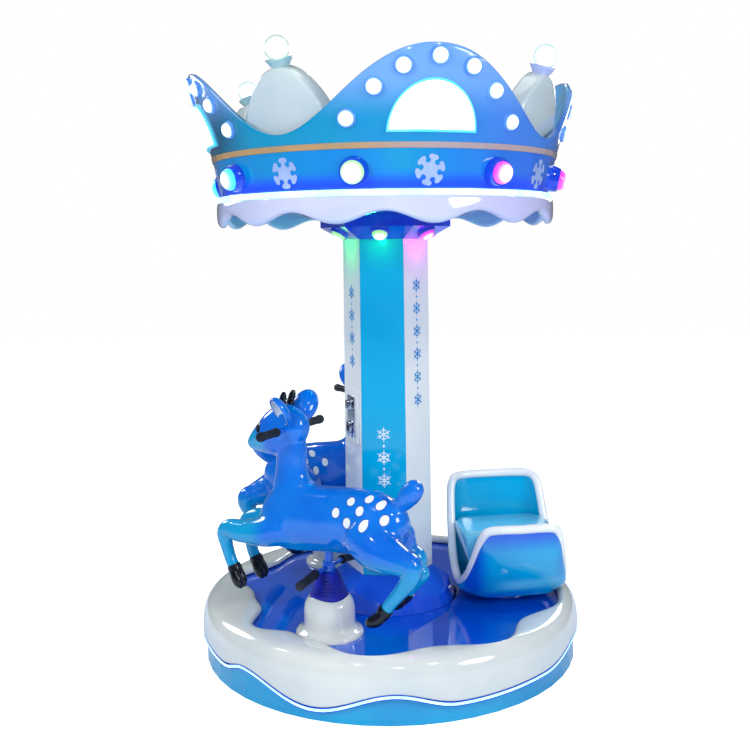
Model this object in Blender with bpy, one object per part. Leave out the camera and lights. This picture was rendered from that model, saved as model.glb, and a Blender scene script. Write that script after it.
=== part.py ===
"""Small fairground carousel: a ground ring, a turning platform with two lifting deer seats
and a sleigh seat, a hexagonal column and a crown-shaped canopy.

Units are metres, +Z is up, and the origin is on the ground at the centre of the turntable.
A bearing is an angle in degrees seen from above, counted from the front (-Y) towards +X.
"""
import math

import bmesh
import bpy
from mathutils import Matrix, Vector

# Driving dimensions
GAP = 0.0003              # between pieces that touch
TURN_CLEARANCE = 0.006    # between the turning platform and what stands still
RING_SEGMENTS = 48

WALL_RADIUS = 0.768       # ground ring, outer face at the ground
WALL_TOP_RADIUS = 0.752
WALL_INNER_RADIUS = 0.740
WALL_TOP = 0.145
WALL_LENGTHS = 4
WALL_JOINT = 0.012        # half the gap between two lengths, in degrees
HUB_RADIUS = 0.33         # steel hub under the turntable
HUB_TOP = 0.135
ARM_COUNT = 6
ARM_WIDTH = 0.05

FLOOR_TOP = 0.203
FLOOR_THICKNESS = 0.048
FLOOR_RADIUS = 0.742
FLOOR_HOLE = 0.285
DRIVE_RING_RADIUS = 0.36
DRIVE_RING_FOOT = 0.345
SNOW_RADIUS = 0.783       # outer face of the snow edge
SNOW_THICKNESS = 0.013
SNOW_HEIGHT = 0.034       # snow above the blue floor
LIGHT_HEIGHT = 0.018

# The snow's outline on the floor and the lower edge of its skirt: bearing and size
SNOW_INNER = [(-165, 0.62), (-141, 0.668), (-122, 0.613), (-104, 0.672), (-83, 0.566), (-61, 0.645),
              (-42, 0.556), (-12, 0.641), (13, 0.537), (37, 0.636), (60, 0.548), (88, 0.693),
              (125, 0.60), (158, 0.70)]
SNOW_LOWER = [(-175, 0.10), (-150, 0.055), (-122, 0.115), (-92, 0.06), (-70, 0.095), (-54, 0.08),
              (-22, 0.045), (1, 0.116), (18, 0.074), (48, 0.084), (70, 0.124), (100, 0.06),
              (128, 0.11), (155, 0.055)]

PLINTH_RADIUS = 0.277
PLINTH_SHOULDER_RADIUS = 0.255
PLINTH_SHOULDER = 0.268
PLINTH_TOP = 0.327
COLUMN_TOP = 1.70
COLUMN_FOOT_RADIUS = 0.182   # corner radius of the hexagon
COLUMN_HEAD_RADIUS = 0.177
COLUMN_BEARING = -5.9        # the blue face that looks forward
PANEL_THICKNESS = 0.014

DOOR_BEARING = COLUMN_BEARING - 60
DOOR_WIDTH = 0.128
DOOR_BOTTOM = 0.86
DOOR_TOP = 1.08
DOOR_THICKNESS = 0.006
DOOR_GAP = 0.001
DOOR_HOLE_MARGIN = 0.016

COLLAR_RADIUS = 0.272
COLLAR_SHOULDER = 1.75
COLLAR_TOP = 1.80
CEILING_RADIUS = 0.655
CEILING_TOP = 1.85
SKIRT_RADIUS = 0.69
SKIRT_CREST = 1.797
SKIRT_WAVE = 0.047
SKIRT_WAVES = 12
SKIRT_SEGMENTS = 6 * SKIRT_WAVES
STRIP_TOP = 1.872
BAND_FOOT_RADIUS = 0.668
BAND_HEAD_RADIUS = 0.699
BAND_TOP = 2.010
GOLD_TOP = 2.031
CROWN_WALL = 0.025
CROWN_FLARE = 0.277          # outward run of the crown wall for each metre up
CROWN_POINTS = 4
CROWN_BEARING = 13.5         # the middle of the first point
CROWN_PEAK = 2.355
CROWN_VALLEY = 2.07
CROWN_COLUMNS = 28           # columns of the crown wall in each point
DECK_TOP = 2.0
DECK_RADIUS = 0.664

SIGN_FOOT = 2.062
SIGN_HEIGHT = 0.178
SIGN_COLUMNS = 8
SIGN_THICKNESS = 0.010

DOME_BASE_RADIUS = 0.619
DOME_LEAN = 17.0
DOME_HALF_WIDTH = 0.15
DOME_HALF_DEPTH = 0.038
DOME_HEIGHT = 0.335
DOME_COLLAR_FOOT = 0.031
DOME_COLLAR_HEAD = 0.05
DOME_COLLAR_HEIGHT = 0.032
BALL_RADIUS = 0.045

SEAT_RADIUS = 0.488
DEER_BEARINGS = {"front": -28.2, "rear": -148.2}
SLEIGH_BEARING = 91.8
LIFT_RADIUS = 0.098
LIFT_FLANGE = 0.13
FLANGE_MARGIN = 0.012      # between a lift's flange and the snow
LIFT_TOP = 0.355
LIFT_BORE = 0.062
BELLOWS_TOP = 0.44
BELLOWS_FOOT = 0.074
BELLOWS_HEAD = 0.034
BELLOWS_BORE = 0.021
BELLOWS_RIBS = 4
POLE_RADIUS = 0.016
POLE_BOTTOM = 0.27
POLE_TOP = 0.575
FOOT_BAR_HEIGHT = 0.458
FOOT_BAR_HALF = 0.165
BAR_RADIUS = 0.009
GRIP_RADIUS = 0.0165
GRIP_LENGTH = 0.095
HANDLE_PLACE = (0.152, 0.972)   # forward of the pole, above the ground
HANDLE_HALF = 0.185

# The deer's trunk: place along its length, height of its middle, half height and half width
TRUNK = [(-0.338, 0.650, 0.022, 0.022), (-0.305, 0.643, 0.062, 0.062), (-0.22, 0.640, 0.113, 0.094),
         (-0.10, 0.641, 0.119, 0.100), (0.02, 0.636, 0.122, 0.101), (0.13, 0.634, 0.131, 0.100),
         (0.21, 0.630, 0.122, 0.088), (0.265, 0.622, 0.087, 0.064), (0.30, 0.612, 0.030, 0.026)]
# The neck, from the shoulders up: height, place along, half length and half width
NECK = [(0.66, 0.172, 0.088, 0.074), (0.74, 0.166, 0.076, 0.061), (0.82, 0.162, 0.066, 0.052),
        (0.89, 0.160, 0.064, 0.050), (0.96, 0.166, 0.064, 0.052)]
# The head, from its back to the nose, in the trunk's order
HEAD = [(0.088, 0.982, 0.022, 0.02), (0.105, 0.980, 0.055, 0.042), (0.15, 0.974, 0.088, 0.060),
        (0.205, 0.964, 0.102, 0.066), (0.26, 0.947, 0.089, 0.059), (0.305, 0.924, 0.060, 0.045),
        (0.338, 0.904, 0.036, 0.033), (0.359, 0.895, 0.013, 0.015)]
# Legs on the left side: forward, sideways, height and radius
FRONT_LEG = [(0.17, 0.045, 0.600, 0.070), (0.25, 0.072, 0.575, 0.055), (0.34, 0.085, 0.574, 0.042),
             (0.40, 0.090, 0.583, 0.034), (0.425, 0.090, 0.558, 0.028), (0.414, 0.090, 0.51, 0.022),
             (0.396, 0.090, 0.46, 0.021), (0.372, 0.090, 0.42, 0.026), (0.338, 0.090, 0.368, 0.030)]
HIND_LEG = [(-0.17, 0.045, 0.630, 0.085), (-0.25, 0.070, 0.580, 0.082), (-0.34, 0.084, 0.556, 0.056),
            (-0.415, 0.090, 0.566, 0.034), (-0.436, 0.090, 0.535, 0.028), (-0.395, 0.090, 0.48, 0.024),
            (-0.345, 0.090, 0.42, 0.022), (-0.30, 0.090, 0.37, 0.027), (-0.258, 0.090, 0.318, 0.032)]
EAR_ROOT = (0.150, 0.045, 1.010)
EAR_TIP = (0.143, 0.140, 1.098)
HORN_ROOT = (0.185, 0.022, 1.045)
HORN_TIP = (0.165, 0.034, 1.102)
HORN_RADIUS = 0.0095
TAIL_ROOT = (-0.285, 0.0, 0.700)
TAIL_TIP = (-0.385, 0.0, 0.812)

SLEIGH_FLOOR = 0.237
SLEIGH_SHELL = 0.014
SLEIGH_RIM = 0.018
# Half of the sleigh's upper edge, from the middle of its front to the middle of its back
SLEIGH_EDGE = [(0.262, 0.0, 0.537), (0.258, 0.115, 0.537), (0.245, 0.156, 0.515), (0.205, 0.176, 0.435),
               (0.150, 0.198, 0.335), (0.092, 0.217, 0.286), (0.02, 0.231, 0.302), (-0.06, 0.240, 0.36),
               (-0.118, 0.246, 0.46), (-0.162, 0.247, 0.585), (-0.190, 0.232, 0.652),
               (-0.222, 0.165, 0.662), (-0.235, 0.0, 0.662)]
BENCH_TOP = 0.482
BENCH_KNEE = 0.34
BENCH_FRONT = 0.125

BLUE = (0.0, 0.28, 0.66)
SKY = (0.0, 0.42, 0.72)
DEEP_BLUE = (0.004, 0.085, 0.55)
SNOW = (0.84, 0.88, 0.90)
GOLD = (0.62, 0.42, 0.26)
LIGHT = (0.62, 0.93, 1.0)
STEEL = (0.08, 0.09, 0.11)


def clear_scene():
    for thing in list(bpy.data.objects):
        bpy.data.objects.remove(thing)


def finish(name, colour, roughness=0.25, metallic=0.0):
    """One Principled material for each kind of surface."""
    material = bpy.data.materials.get(name)
    if material is None:
        material = bpy.data.materials.new(name)
        material.use_nodes = True
        shader = material.node_tree.nodes["Principled BSDF"]
        shader.inputs["Base Color"].default_value = (*colour, 1.0)
        shader.inputs["Roughness"].default_value = roughness
        shader.inputs["Metallic"].default_value = metallic
    return material


def at(radius, bearing, height=0.0):
    """The point at a radius and a bearing round the column's axis."""
    angle = math.radians(bearing)
    return Vector((radius * math.sin(angle), -radius * math.cos(angle), height))


def lerp(low, high, share):
    return low + (high - low) * share


def round_curve(keys, bearing):
    """The value at a bearing of a smooth closed curve through (bearing, value) keys."""
    count = len(keys)
    for index in range(count):
        start = keys[index][0]
        width = (keys[(index + 1) % count][0] - start) % 360
        offset = (bearing - start) % 360
        if offset <= width:
            share = (1 - math.cos(math.pi * offset / width)) / 2
            return lerp(keys[index][1], keys[(index + 1) % count][1], share)
    return keys[0][1]


def catmull(points, steps):
    """A smooth open run through hand-placed points."""
    places = [Vector(point) for point in points]
    run = []
    for index in range(len(places) - 1):
        before = places[max(index - 1, 0)]
        start = places[index]
        end = places[index + 1]
        after = places[min(index + 2, len(places) - 1)]
        for step in range(steps):
            t = step / steps
            run.append(0.5 * (2 * start + (end - before) * t
                              + (2 * before - 5 * start + 4 * end - after) * t ** 2
                              + (3 * start - before - 3 * end + after) * t ** 3))
    run.append(places[-1])
    return run


def add_object(name, mesh, material, smooth_angle=35):
    """Link a mesh as a named object, with its faces outward and its round faces smooth."""
    shape = bmesh.new()
    shape.from_mesh(mesh)
    bmesh.ops.recalc_face_normals(shape, faces=shape.faces)
    shape.to_mesh(mesh)
    shape.free()
    mesh.materials.append(material)
    mesh.shade_smooth()
    mesh.set_sharp_from_angle(angle=math.radians(smooth_angle))
    thing = bpy.data.objects.new(name, mesh)
    bpy.context.scene.collection.objects.link(thing)
    return thing


def bridged(name, rings, closed_run, material):
    """A body whose skin runs through rings of points: a tube with capped ends, or a closed loop."""
    shape = bmesh.new()
    loops = []
    for ring in rings:
        corners = [shape.verts.new(point) for point in ring]
        loops.append([shape.edges.new((corners[i - 1], corners[i])) for i in range(len(corners))])
    pairs = list(zip(loops, loops[1:]))
    if closed_run:
        pairs.append((loops[-1], loops[0]))
    else:
        bmesh.ops.holes_fill(shape, edges=loops[0] + loops[-1], sides=0)
        for loop in (loops[0], loops[-1]):
            if not loop[0].link_faces:
                bmesh.ops.contextual_create(shape, geom=loop)
    for first, second in pairs:
        count = len(first)
        ends_a = [edge.verts[1] for edge in first]
        ends_b = [edge.verts[1] for edge in second]
        for i in range(count):
            shape.faces.new((ends_a[i - 1], ends_a[i], ends_b[i], ends_b[i - 1]))
    mesh = bpy.data.meshes.new(name)
    shape.to_mesh(mesh)
    shape.free()
    return add_object(name, mesh, material)


def turned(name, outline, material, segments=RING_SEGMENTS, place=(0, 0, 0)):
    """A body turned from a closed outline of (radius, height) points round an upright axis."""
    shape = bmesh.new()
    points = [shape.verts.new((radius, 0, height)) for radius, height in outline]
    edges = [shape.edges.new((points[i - 1], points[i])) for i in range(len(points))]
    bmesh.ops.spin(shape, geom=points + edges, cent=(0, 0, 0), axis=(0, 0, 1),
                   angle=math.tau, steps=segments, use_merge=True)
    bmesh.ops.remove_doubles(shape, verts=shape.verts, dist=0.00005)
    loose = [edge for edge in shape.edges if not edge.link_faces]
    bmesh.ops.delete(shape, geom=loose, context="EDGES")
    mesh = bpy.data.meshes.new(name)
    shape.to_mesh(mesh)
    shape.free()
    thing = add_object(name, mesh, material)
    thing.location = place
    return thing


def ring_of(name, section, material, segments=RING_SEGMENTS):
    """A closed ring whose cross-section, a list of (radius, height), may change with the bearing."""
    rings = []
    for step in range(segments):
        bearing = 360 * step / segments
        rings.append([at(radius, bearing, height) for radius, height in section(bearing)])
    return bridged(name, rings, True, material)


def arc_of(name, section, start, end, count, material):
    """A stretch of a ring between two bearings, with flat ends."""
    rings = []
    for index in range(count + 1):
        bearing = lerp(start, end, index / count)
        rings.append([at(radius, bearing, height) for radius, height in section(bearing)])
    return bridged(name, rings, False, material)


def limb(name, path, material, sides=8):
    """A tapering round limb through (forward, sideways, height, radius) stations."""
    centres = [Vector(station[:3]) for station in path]
    rings = []
    for index, centre in enumerate(centres):
        ahead = centres[min(index + 1, len(centres) - 1)]
        behind = centres[max(index - 1, 0)]
        along = (ahead - behind).normalized()
        across = (Vector((0, 1, 0)) - along * along.y).normalized()
        up = along.cross(across)
        radius = path[index][3]
        ring = []
        for side in range(sides):
            angle = math.tau * side / sides
            ring.append(centre + across * (radius * math.cos(angle)) + up * (radius * math.sin(angle)))
        rings.append(ring)
    return bridged(name, rings, False, material)


def mark_cutter(thing):
    thing.hide_render = True
    thing.display_type = "WIRE"
    return thing


def combine(thing, other, operation):
    """Cut or join a body with a helper body that isn't a piece itself."""
    mark_cutter(other)
    modifier = thing.modifiers.new(operation.lower(), "BOOLEAN")
    modifier.operation = operation
    modifier.solver = "EXACT"
    modifier.object = other
    return thing


def block(name, low, high, material, place=None):
    """A box between two corners, turned and moved by a placement matrix."""
    shape = bmesh.new()
    bmesh.ops.create_cube(shape, size=1.0)
    size = Vector(high) - Vector(low)
    middle = (Vector(high) + Vector(low)) / 2
    bmesh.ops.scale(shape, vec=size, verts=shape.verts)
    bmesh.ops.translate(shape, vec=middle, verts=shape.verts)
    if place is not None:
        bmesh.ops.transform(shape, matrix=place, verts=shape.verts)
    mesh = bpy.data.meshes.new(name)
    shape.to_mesh(mesh)
    shape.free()
    return add_object(name, mesh, material)


def rod(name, start, end, radius, material, sides=12):
    """A round bar between two points."""
    start = Vector(start)
    end = Vector(end)
    shape = bmesh.new()
    bmesh.ops.create_cone(shape, cap_ends=True, segments=sides, radius1=radius, radius2=radius,
                          depth=(end - start).length)
    turn = (end - start).to_track_quat("Z", "Y").to_matrix().to_4x4()
    bmesh.ops.transform(shape, matrix=Matrix.Translation((start + end) / 2) @ turn, verts=shape.verts)
    mesh = bpy.data.meshes.new(name)
    shape.to_mesh(mesh)
    shape.free()
    return add_object(name, mesh, material)


def leaf(name, root, tip, half_width, half_thickness, wide_axis, material):
    """A flattened egg between two points, for an ear or a tail."""
    root = Vector(root)
    tip = Vector(tip)
    along = (tip - root).normalized()
    wide = (Vector(wide_axis) - along * along.dot(Vector(wide_axis))).normalized()
    thin = along.cross(wide)
    shape = bmesh.new()
    bmesh.ops.create_uvsphere(shape, u_segments=8, v_segments=6, radius=1.0)
    bmesh.ops.scale(shape, vec=(half_width, half_thickness, (tip - root).length / 2), verts=shape.verts)
    frame = Matrix((wide, thin, along)).transposed().to_4x4()
    bmesh.ops.transform(shape, matrix=Matrix.Translation((root + tip) / 2) @ frame, verts=shape.verts)
    mesh = bpy.data.meshes.new(name)
    shape.to_mesh(mesh)
    shape.free()
    return add_object(name, mesh, material)


def seat_place(bearing):
    """Placement of a seat: its x axis heads clockwise seen from above, its y axis is its left."""
    return Matrix.Translation(at(SEAT_RADIUS, bearing)) @ Matrix.Rotation(math.radians(180 + bearing), 4, "Z")


def wall_section(bearing):
    return [(WALL_RADIUS, 0.0), (WALL_TOP_RADIUS, WALL_TOP), (WALL_INNER_RADIUS, WALL_TOP),
            (WALL_INNER_RADIUS, 0.0)]


# The ground ring, in four lengths, and the steel frame inside it
def make_base():
    length = 360 / WALL_LENGTHS
    for index in range(WALL_LENGTHS):
        start = length * (index - 0.5) + WALL_JOINT
        arc_of(f"base_wall_{index + 1}", wall_section, start, start + length - 2 * WALL_JOINT,
               RING_SEGMENTS // WALL_LENGTHS, finish("wall_blue", SKY, 0.22))
    steel = finish("frame_steel", STEEL, 0.5, 0.6)
    hub = turned("base_frame", [(HUB_RADIUS, 0.004), (HUB_RADIUS, HUB_TOP), (0.0, HUB_TOP), (0.0, 0.004)],
                 steel, segments=36)
    for index in range(ARM_COUNT):
        turn = Matrix.Rotation(math.tau * index / ARM_COUNT, 4, "Z")
        reach = WALL_INNER_RADIUS * math.cos(math.pi / RING_SEGMENTS) - GAP - 0.001
        arm = block(f"arm_guide_{index + 1}", (HUB_RADIUS - 0.03, -ARM_WIDTH / 2, 0.006),
                    (reach, ARM_WIDTH / 2, 0.066), steel, turn)
        combine(hub, arm, "UNION")


# The turning floor: a blue disc on a steel drive ring, round the column's foot
def make_floor():
    low = FLOOR_TOP - FLOOR_THICKNESS
    turned("platform_floor", [(FLOOR_HOLE, FLOOR_TOP), (FLOOR_RADIUS, FLOOR_TOP), (FLOOR_RADIUS, low),
                              (FLOOR_HOLE, low)], finish("floor_blue", DEEP_BLUE, 0.12))
    foot = HUB_TOP + TURN_CLEARANCE
    turned("drive_ring", [(DRIVE_RING_RADIUS, low - GAP), (DRIVE_RING_FOOT, foot), (FLOOR_HOLE, foot),
                          (FLOOR_HOLE, low - GAP)], finish("frame_steel", STEEL, 0.5, 0.6))


def snow_outline(bearing):
    """Where the snow ends on the floor: a wavy line that stays outside the lifts' flanges."""
    radius = round_curve(SNOW_INNER, bearing)
    clear = LIFT_FLANGE + FLANGE_MARGIN
    for seat in DEER_BEARINGS.values():
        aside = SEAT_RADIUS * math.sin(math.radians(bearing - seat))
        ahead = SEAT_RADIUS * math.cos(math.radians(bearing - seat))
        if ahead > 0 and abs(aside) < clear:
            radius = max(radius, ahead + math.sqrt(clear ** 2 - aside ** 2))
    return radius


def snow_section(bearing):
    """The snow edge: raised on the floor, rounded over the rim, hanging as a wavy skirt."""
    inner = snow_outline(bearing)
    lower = round_curve(SNOW_LOWER, bearing)
    top = FLOOR_TOP + SNOW_HEIGHT
    skirt_inner = SNOW_RADIUS - SNOW_THICKNESS
    under = WALL_TOP + TURN_CLEARANCE
    return [(inner, FLOOR_TOP + GAP), (inner + 0.005, top - 0.014), (inner + 0.022, top),
            (0.745, top - 0.006), (0.771, top - 0.033), (SNOW_RADIUS, top - 0.085), (SNOW_RADIUS, lower),
            (skirt_inner, lower), (skirt_inner, under), (FLOOR_RADIUS + GAP, under),
            (FLOOR_RADIUS + GAP, FLOOR_TOP + GAP)]


def strip_section(bearing):
    lower = round_curve(SNOW_LOWER, bearing) - GAP
    inner = SNOW_RADIUS - SNOW_THICKNESS + 0.0005
    return [(inner, lower - LIGHT_HEIGHT), (inner + 0.008, lower - LIGHT_HEIGHT),
            (inner + 0.008, lower), (inner, lower)]


def make_snow_edge():
    ring_of("snow_rim", snow_section, finish("snow_white", SNOW, 0.18))
    ring_of("base_light_strip", strip_section, finish("strip_light", LIGHT, 0.3))


def hexagon(corner_radius, height, bearing):
    return [at(corner_radius, bearing + 30 + 60 * side, height) for side in range(6)]


# The column's foot: a round base whose upper part is cut to six sloping faces
def make_plinth():
    blue = finish("plinth_blue", (0.01, 0.13, 0.60), 0.15)
    bottom = HUB_TOP + GAP
    plinth = turned("column_plinth",
                    [(PLINTH_RADIUS, bottom), (PLINTH_RADIUS, FLOOR_TOP), (PLINTH_SHOULDER_RADIUS, PLINTH_SHOULDER),
                     (0.245, PLINTH_TOP), (0.0, PLINTH_TOP), (0.0, bottom)], blue, segments=36)
    slope = (0.25 - COLUMN_FOOT_RADIUS * math.cos(math.radians(30))) / (PLINTH_TOP - 0.255)
    corner = 1 / math.cos(math.radians(30))
    top_corner = COLUMN_FOOT_RADIUS + 0.004
    foot_corner = top_corner + slope * corner * (PLINTH_TOP - bottom + 0.01)
    guide = bridged("plinth_guide", [hexagon(foot_corner, bottom - 0.01, COLUMN_BEARING),
                                     hexagon(top_corner, PLINTH_TOP, COLUMN_BEARING)], False, blue)
    combine(plinth, guide, "INTERSECT")


# Six column faces, blue and white by turns, mitred at the corners
def make_column():
    white = finish("column_white", (0.72, 0.78, 0.84), 0.22)
    blue = finish("column_blue", SKY, 0.2)
    cos30 = math.cos(math.radians(30))
    mitre = math.degrees(GAP / COLUMN_FOOT_RADIUS)
    for index in range(6):
        bearing = COLUMN_BEARING + 60 * index
        rings = []
        for height, corner in ((PLINTH_TOP + GAP, COLUMN_FOOT_RADIUS), (COLUMN_TOP, COLUMN_HEAD_RADIUS)):
            inner = corner - PANEL_THICKNESS / cos30
            half = 30 - mitre
            rings.append([at(corner, bearing - half, height), at(corner, bearing + half, height),
                          at(inner, bearing + half, height), at(inner, bearing - half, height)])
        panel = bridged(f"column_panel_{index + 1}", rings, False, blue if index % 2 == 0 else white)
        if index == 5:
            combine(panel, door_hole_guide(white), "DIFFERENCE")


def face_place(bearing, height):
    """Placement on a column face: x to the right along the face, y into the column, z up."""
    share = (height - PLINTH_TOP) / (COLUMN_TOP - PLINTH_TOP)
    corner = lerp(COLUMN_FOOT_RADIUS, COLUMN_HEAD_RADIUS, share)
    apothem = corner * math.cos(math.radians(30))
    return Matrix.Translation(at(apothem, bearing, height)) @ Matrix.Rotation(math.radians(bearing), 4, "Z")


def door_hole_guide(material):
    middle = (DOOR_BOTTOM + DOOR_TOP) / 2
    half_width = DOOR_WIDTH / 2 - DOOR_HOLE_MARGIN
    half_height = (DOOR_TOP - DOOR_BOTTOM) / 2 - DOOR_HOLE_MARGIN
    return block("door_hole_guide", (-half_width, -0.03, -half_height), (half_width, 0.05, half_height),
                 material, face_place(DOOR_BEARING, middle))


# The service door on the left white face with its coin plate
def make_coin_door():
    middle = (DOOR_BOTTOM + DOOR_TOP) / 2
    half_height = (DOOR_TOP - DOOR_BOTTOM) / 2
    place = face_place(DOOR_BEARING, middle)
    block("coin_door", (-DOOR_WIDTH / 2, -DOOR_THICKNESS - DOOR_GAP, -half_height),
          (DOOR_WIDTH / 2, -DOOR_GAP, half_height), finish("column_white", SNOW, 0.22), place)
    front = -DOOR_THICKNESS - DOOR_GAP - GAP
    plate = block("coin_mechanism", (-0.036, front - 0.004, -0.086), (0.036, front, 0.086),
                  finish("chrome", (0.62, 0.64, 0.68), 0.12, 1.0), place)
    lip = block("coin_lip_guide", (-0.024, front - 0.020, 0.028), (0.024, front - 0.002, 0.066),
                finish("chrome", SNOW), place)
    cup = block("coin_cup_guide", (-0.022, front - 0.017, -0.070), (0.022, front - 0.002, -0.022),
                finish("chrome", SNOW), place)
    combine(plate, lip, "UNION")
    combine(plate, cup, "UNION")


# The hexagonal collar at the column's head
def make_collar():
    rings = [hexagon(COLUMN_HEAD_RADIUS + 0.004, COLUMN_TOP + GAP, COLUMN_BEARING),
             hexagon(COLLAR_RADIUS, COLLAR_SHOULDER, COLUMN_BEARING),
             hexagon(COLLAR_RADIUS, COLLAR_TOP, COLUMN_BEARING)]
    bridged("hub_collar", rings, False, finish("collar_blue", DEEP_BLUE, 0.18))


def skirt_section(bearing):
    """The canopy's snow edge: a wavy apron round the ceiling."""
    share = (1 - math.cos(math.radians(bearing * SKIRT_WAVES))) / 2
    low = SKIRT_CREST - SKIRT_WAVE * share
    inner = CEILING_RADIUS + GAP
    return [(inner, low), (SKIRT_RADIUS - 0.008, low), (SKIRT_RADIUS, low + 0.016),
            (SKIRT_RADIUS, CEILING_TOP), (inner, CEILING_TOP)]


def crown_radius(height):
    """The crown wall's outer radius."""
    if height <= BAND_TOP:
        share = (height - STRIP_TOP) / (BAND_TOP - STRIP_TOP)
        return lerp(BAND_FOOT_RADIUS, BAND_HEAD_RADIUS, share)
    return BAND_HEAD_RADIUS + (height - BAND_TOP) * CROWN_FLARE


# The canopy below the crown: ceiling, snow apron and lit strip
def make_canopy():
    turned("ceiling", [(CEILING_RADIUS, COLLAR_TOP + GAP), (CEILING_RADIUS, CEILING_TOP),
                       (0.0, CEILING_TOP), (0.0, COLLAR_TOP + GAP)],
           finish("ceiling_blue", DEEP_BLUE, 0.3), segments=SKIRT_SEGMENTS)
    ring_of("canopy_snow_skirt", skirt_section, finish("snow_white", SNOW, 0.18), segments=SKIRT_SEGMENTS)
    low = CEILING_TOP + GAP
    high = STRIP_TOP - GAP
    turned("canopy_light_strip", [(0.60, low), (0.684, low), (0.684, high), (0.60, high)],
           finish("strip_light", LIGHT, 0.3))


# The crown: a blue band, a gold strip, a deck, and four raised points
def make_crown():
    blue = finish("crown_blue", (0.03, 0.30, 0.68), 0.16)
    turned("crown_band",
           [(crown_radius(STRIP_TOP), STRIP_TOP), (crown_radius(BAND_TOP), BAND_TOP),
            (crown_radius(BAND_TOP) - CROWN_WALL, BAND_TOP), (crown_radius(STRIP_TOP) - CROWN_WALL, STRIP_TOP)],
           blue)
    low = BAND_TOP + GAP
    high = GOLD_TOP
    turned("gold_band",
           [(crown_radius(low) + 0.003, low), (crown_radius(high) + 0.003, high),
            (crown_radius(high) - CROWN_WALL, high), (crown_radius(low) - CROWN_WALL, low)],
           finish("gold", GOLD, 0.3, 0.6))
    turned("crown_deck", [(DECK_RADIUS, DECK_TOP - 0.012), (DECK_RADIUS, DECK_TOP), (0.0, DECK_TOP),
                          (0.0, DECK_TOP - 0.012)], finish("ceiling_blue", DEEP_BLUE, 0.3))


def crown_height(bearing):
    """The height of the crown's wavy upper edge."""
    spread = 360 / CROWN_POINTS
    offset = (bearing - CROWN_BEARING + spread / 2) % spread - spread / 2
    share = abs(offset) / (spread / 2)
    rise = (1 + math.cos(math.pi * share ** 1.08)) / 2
    return lerp(CROWN_VALLEY, CROWN_PEAK, rise)


def lobe_section(bearing):
    low = GOLD_TOP + GAP
    top = crown_height(bearing)
    return [(crown_radius(low), low), (crown_radius(top - 0.008), top - 0.008), (crown_radius(top) - 0.007, top),
            (crown_radius(top) - CROWN_WALL, top), (crown_radius(low) - CROWN_WALL, low)]


def sign_half_angle():
    return 360 / CROWN_POINTS * SIGN_COLUMNS / CROWN_COLUMNS / 2


def sign_section(bearing):
    """The half-moon window: a thin plate on the wall, highest in its middle."""
    spread = 360 / CROWN_POINTS
    offset = (bearing - CROWN_BEARING + spread / 2) % spread - spread / 2
    share = offset / (sign_half_angle() * 1.02)
    high = SIGN_FOOT + SIGN_HEIGHT * math.sqrt(1 - share ** 2)
    rest = GAP * 2
    return [(crown_radius(SIGN_FOOT) + rest, SIGN_FOOT), (crown_radius(SIGN_FOOT) + SIGN_THICKNESS, SIGN_FOOT),
            (crown_radius(high) + SIGN_THICKNESS, high), (crown_radius(high) + rest, high)]


def make_crown_points():
    blue = finish("crown_blue", (0.03, 0.30, 0.68), 0.16)
    half = 180 / CROWN_POINTS
    for index in range(CROWN_POINTS):
        middle = CROWN_BEARING + 2 * half * index
        arc_of(f"crown_lobe_{index + 1}", lobe_section, middle - half + 0.015, middle + half - 0.015,
               CROWN_COLUMNS, blue)
        arc_of(f"sign_panel_{index + 1}", sign_section, middle - sign_half_angle(),
               middle + sign_half_angle(), SIGN_COLUMNS, finish("sign_white", (0.9, 0.97, 1.0), 0.25))


# The white domes in the crown's dips, each with a flared collar and a lamp ball
def make_snow_domes():
    white = finish("snow_white", SNOW, 0.18)
    glow = finish("ball_glow", (0.75, 0.98, 0.95), 0.2)
    for index in range(CROWN_POINTS):
        bearing = CROWN_BEARING - 180 / CROWN_POINTS + 360 / CROWN_POINTS * index
        base = at(DOME_BASE_RADIUS, bearing, DECK_TOP)
        # x runs along the wall, -y points outwards and z leans outwards
        place = (Matrix.Translation(base) @ Matrix.Rotation(math.radians(bearing), 4, "Z")
                 @ Matrix.Rotation(math.radians(DOME_LEAN), 4, "X"))
        dome = dome_body(f"snow_dome_{index + 1}", place, white)
        collar_foot = DOME_HEIGHT - 0.012
        collar_head = collar_foot + DOME_COLLAR_HEIGHT
        collar = turned(f"dome_collar_guide_{index + 1}",
                        [(DOME_COLLAR_FOOT, collar_foot), (DOME_COLLAR_HEAD, collar_head),
                         (0.0, collar_head), (0.0, collar_foot)], white, segments=16)
        collar.matrix_world = place
        combine(dome, collar, "UNION")
        ball_body(f"dome_ball_{index + 1}", place, collar_head, glow)


def dome_body(name, place, material):
    shape = bmesh.new()
    bmesh.ops.create_uvsphere(shape, u_segments=14, v_segments=10, radius=1.0)
    bmesh.ops.scale(shape, vec=(DOME_HALF_WIDTH, DOME_HALF_DEPTH, DOME_HEIGHT), verts=shape.verts)
    bmesh.ops.transform(shape, matrix=place, verts=shape.verts)
    cut = bmesh.ops.bisect_plane(shape, geom=shape.verts[:] + shape.edges[:] + shape.faces[:],
                                 plane_co=(0, 0, DECK_TOP + GAP), plane_no=(0, 0, 1), clear_inner=True)
    rim = [item for item in cut["geom_cut"] if isinstance(item, bmesh.types.BMEdge)]
    bmesh.ops.contextual_create(shape, geom=rim)
    mesh = bpy.data.meshes.new(name)
    shape.to_mesh(mesh)
    shape.free()
    return add_object(name, mesh, material)


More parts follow.
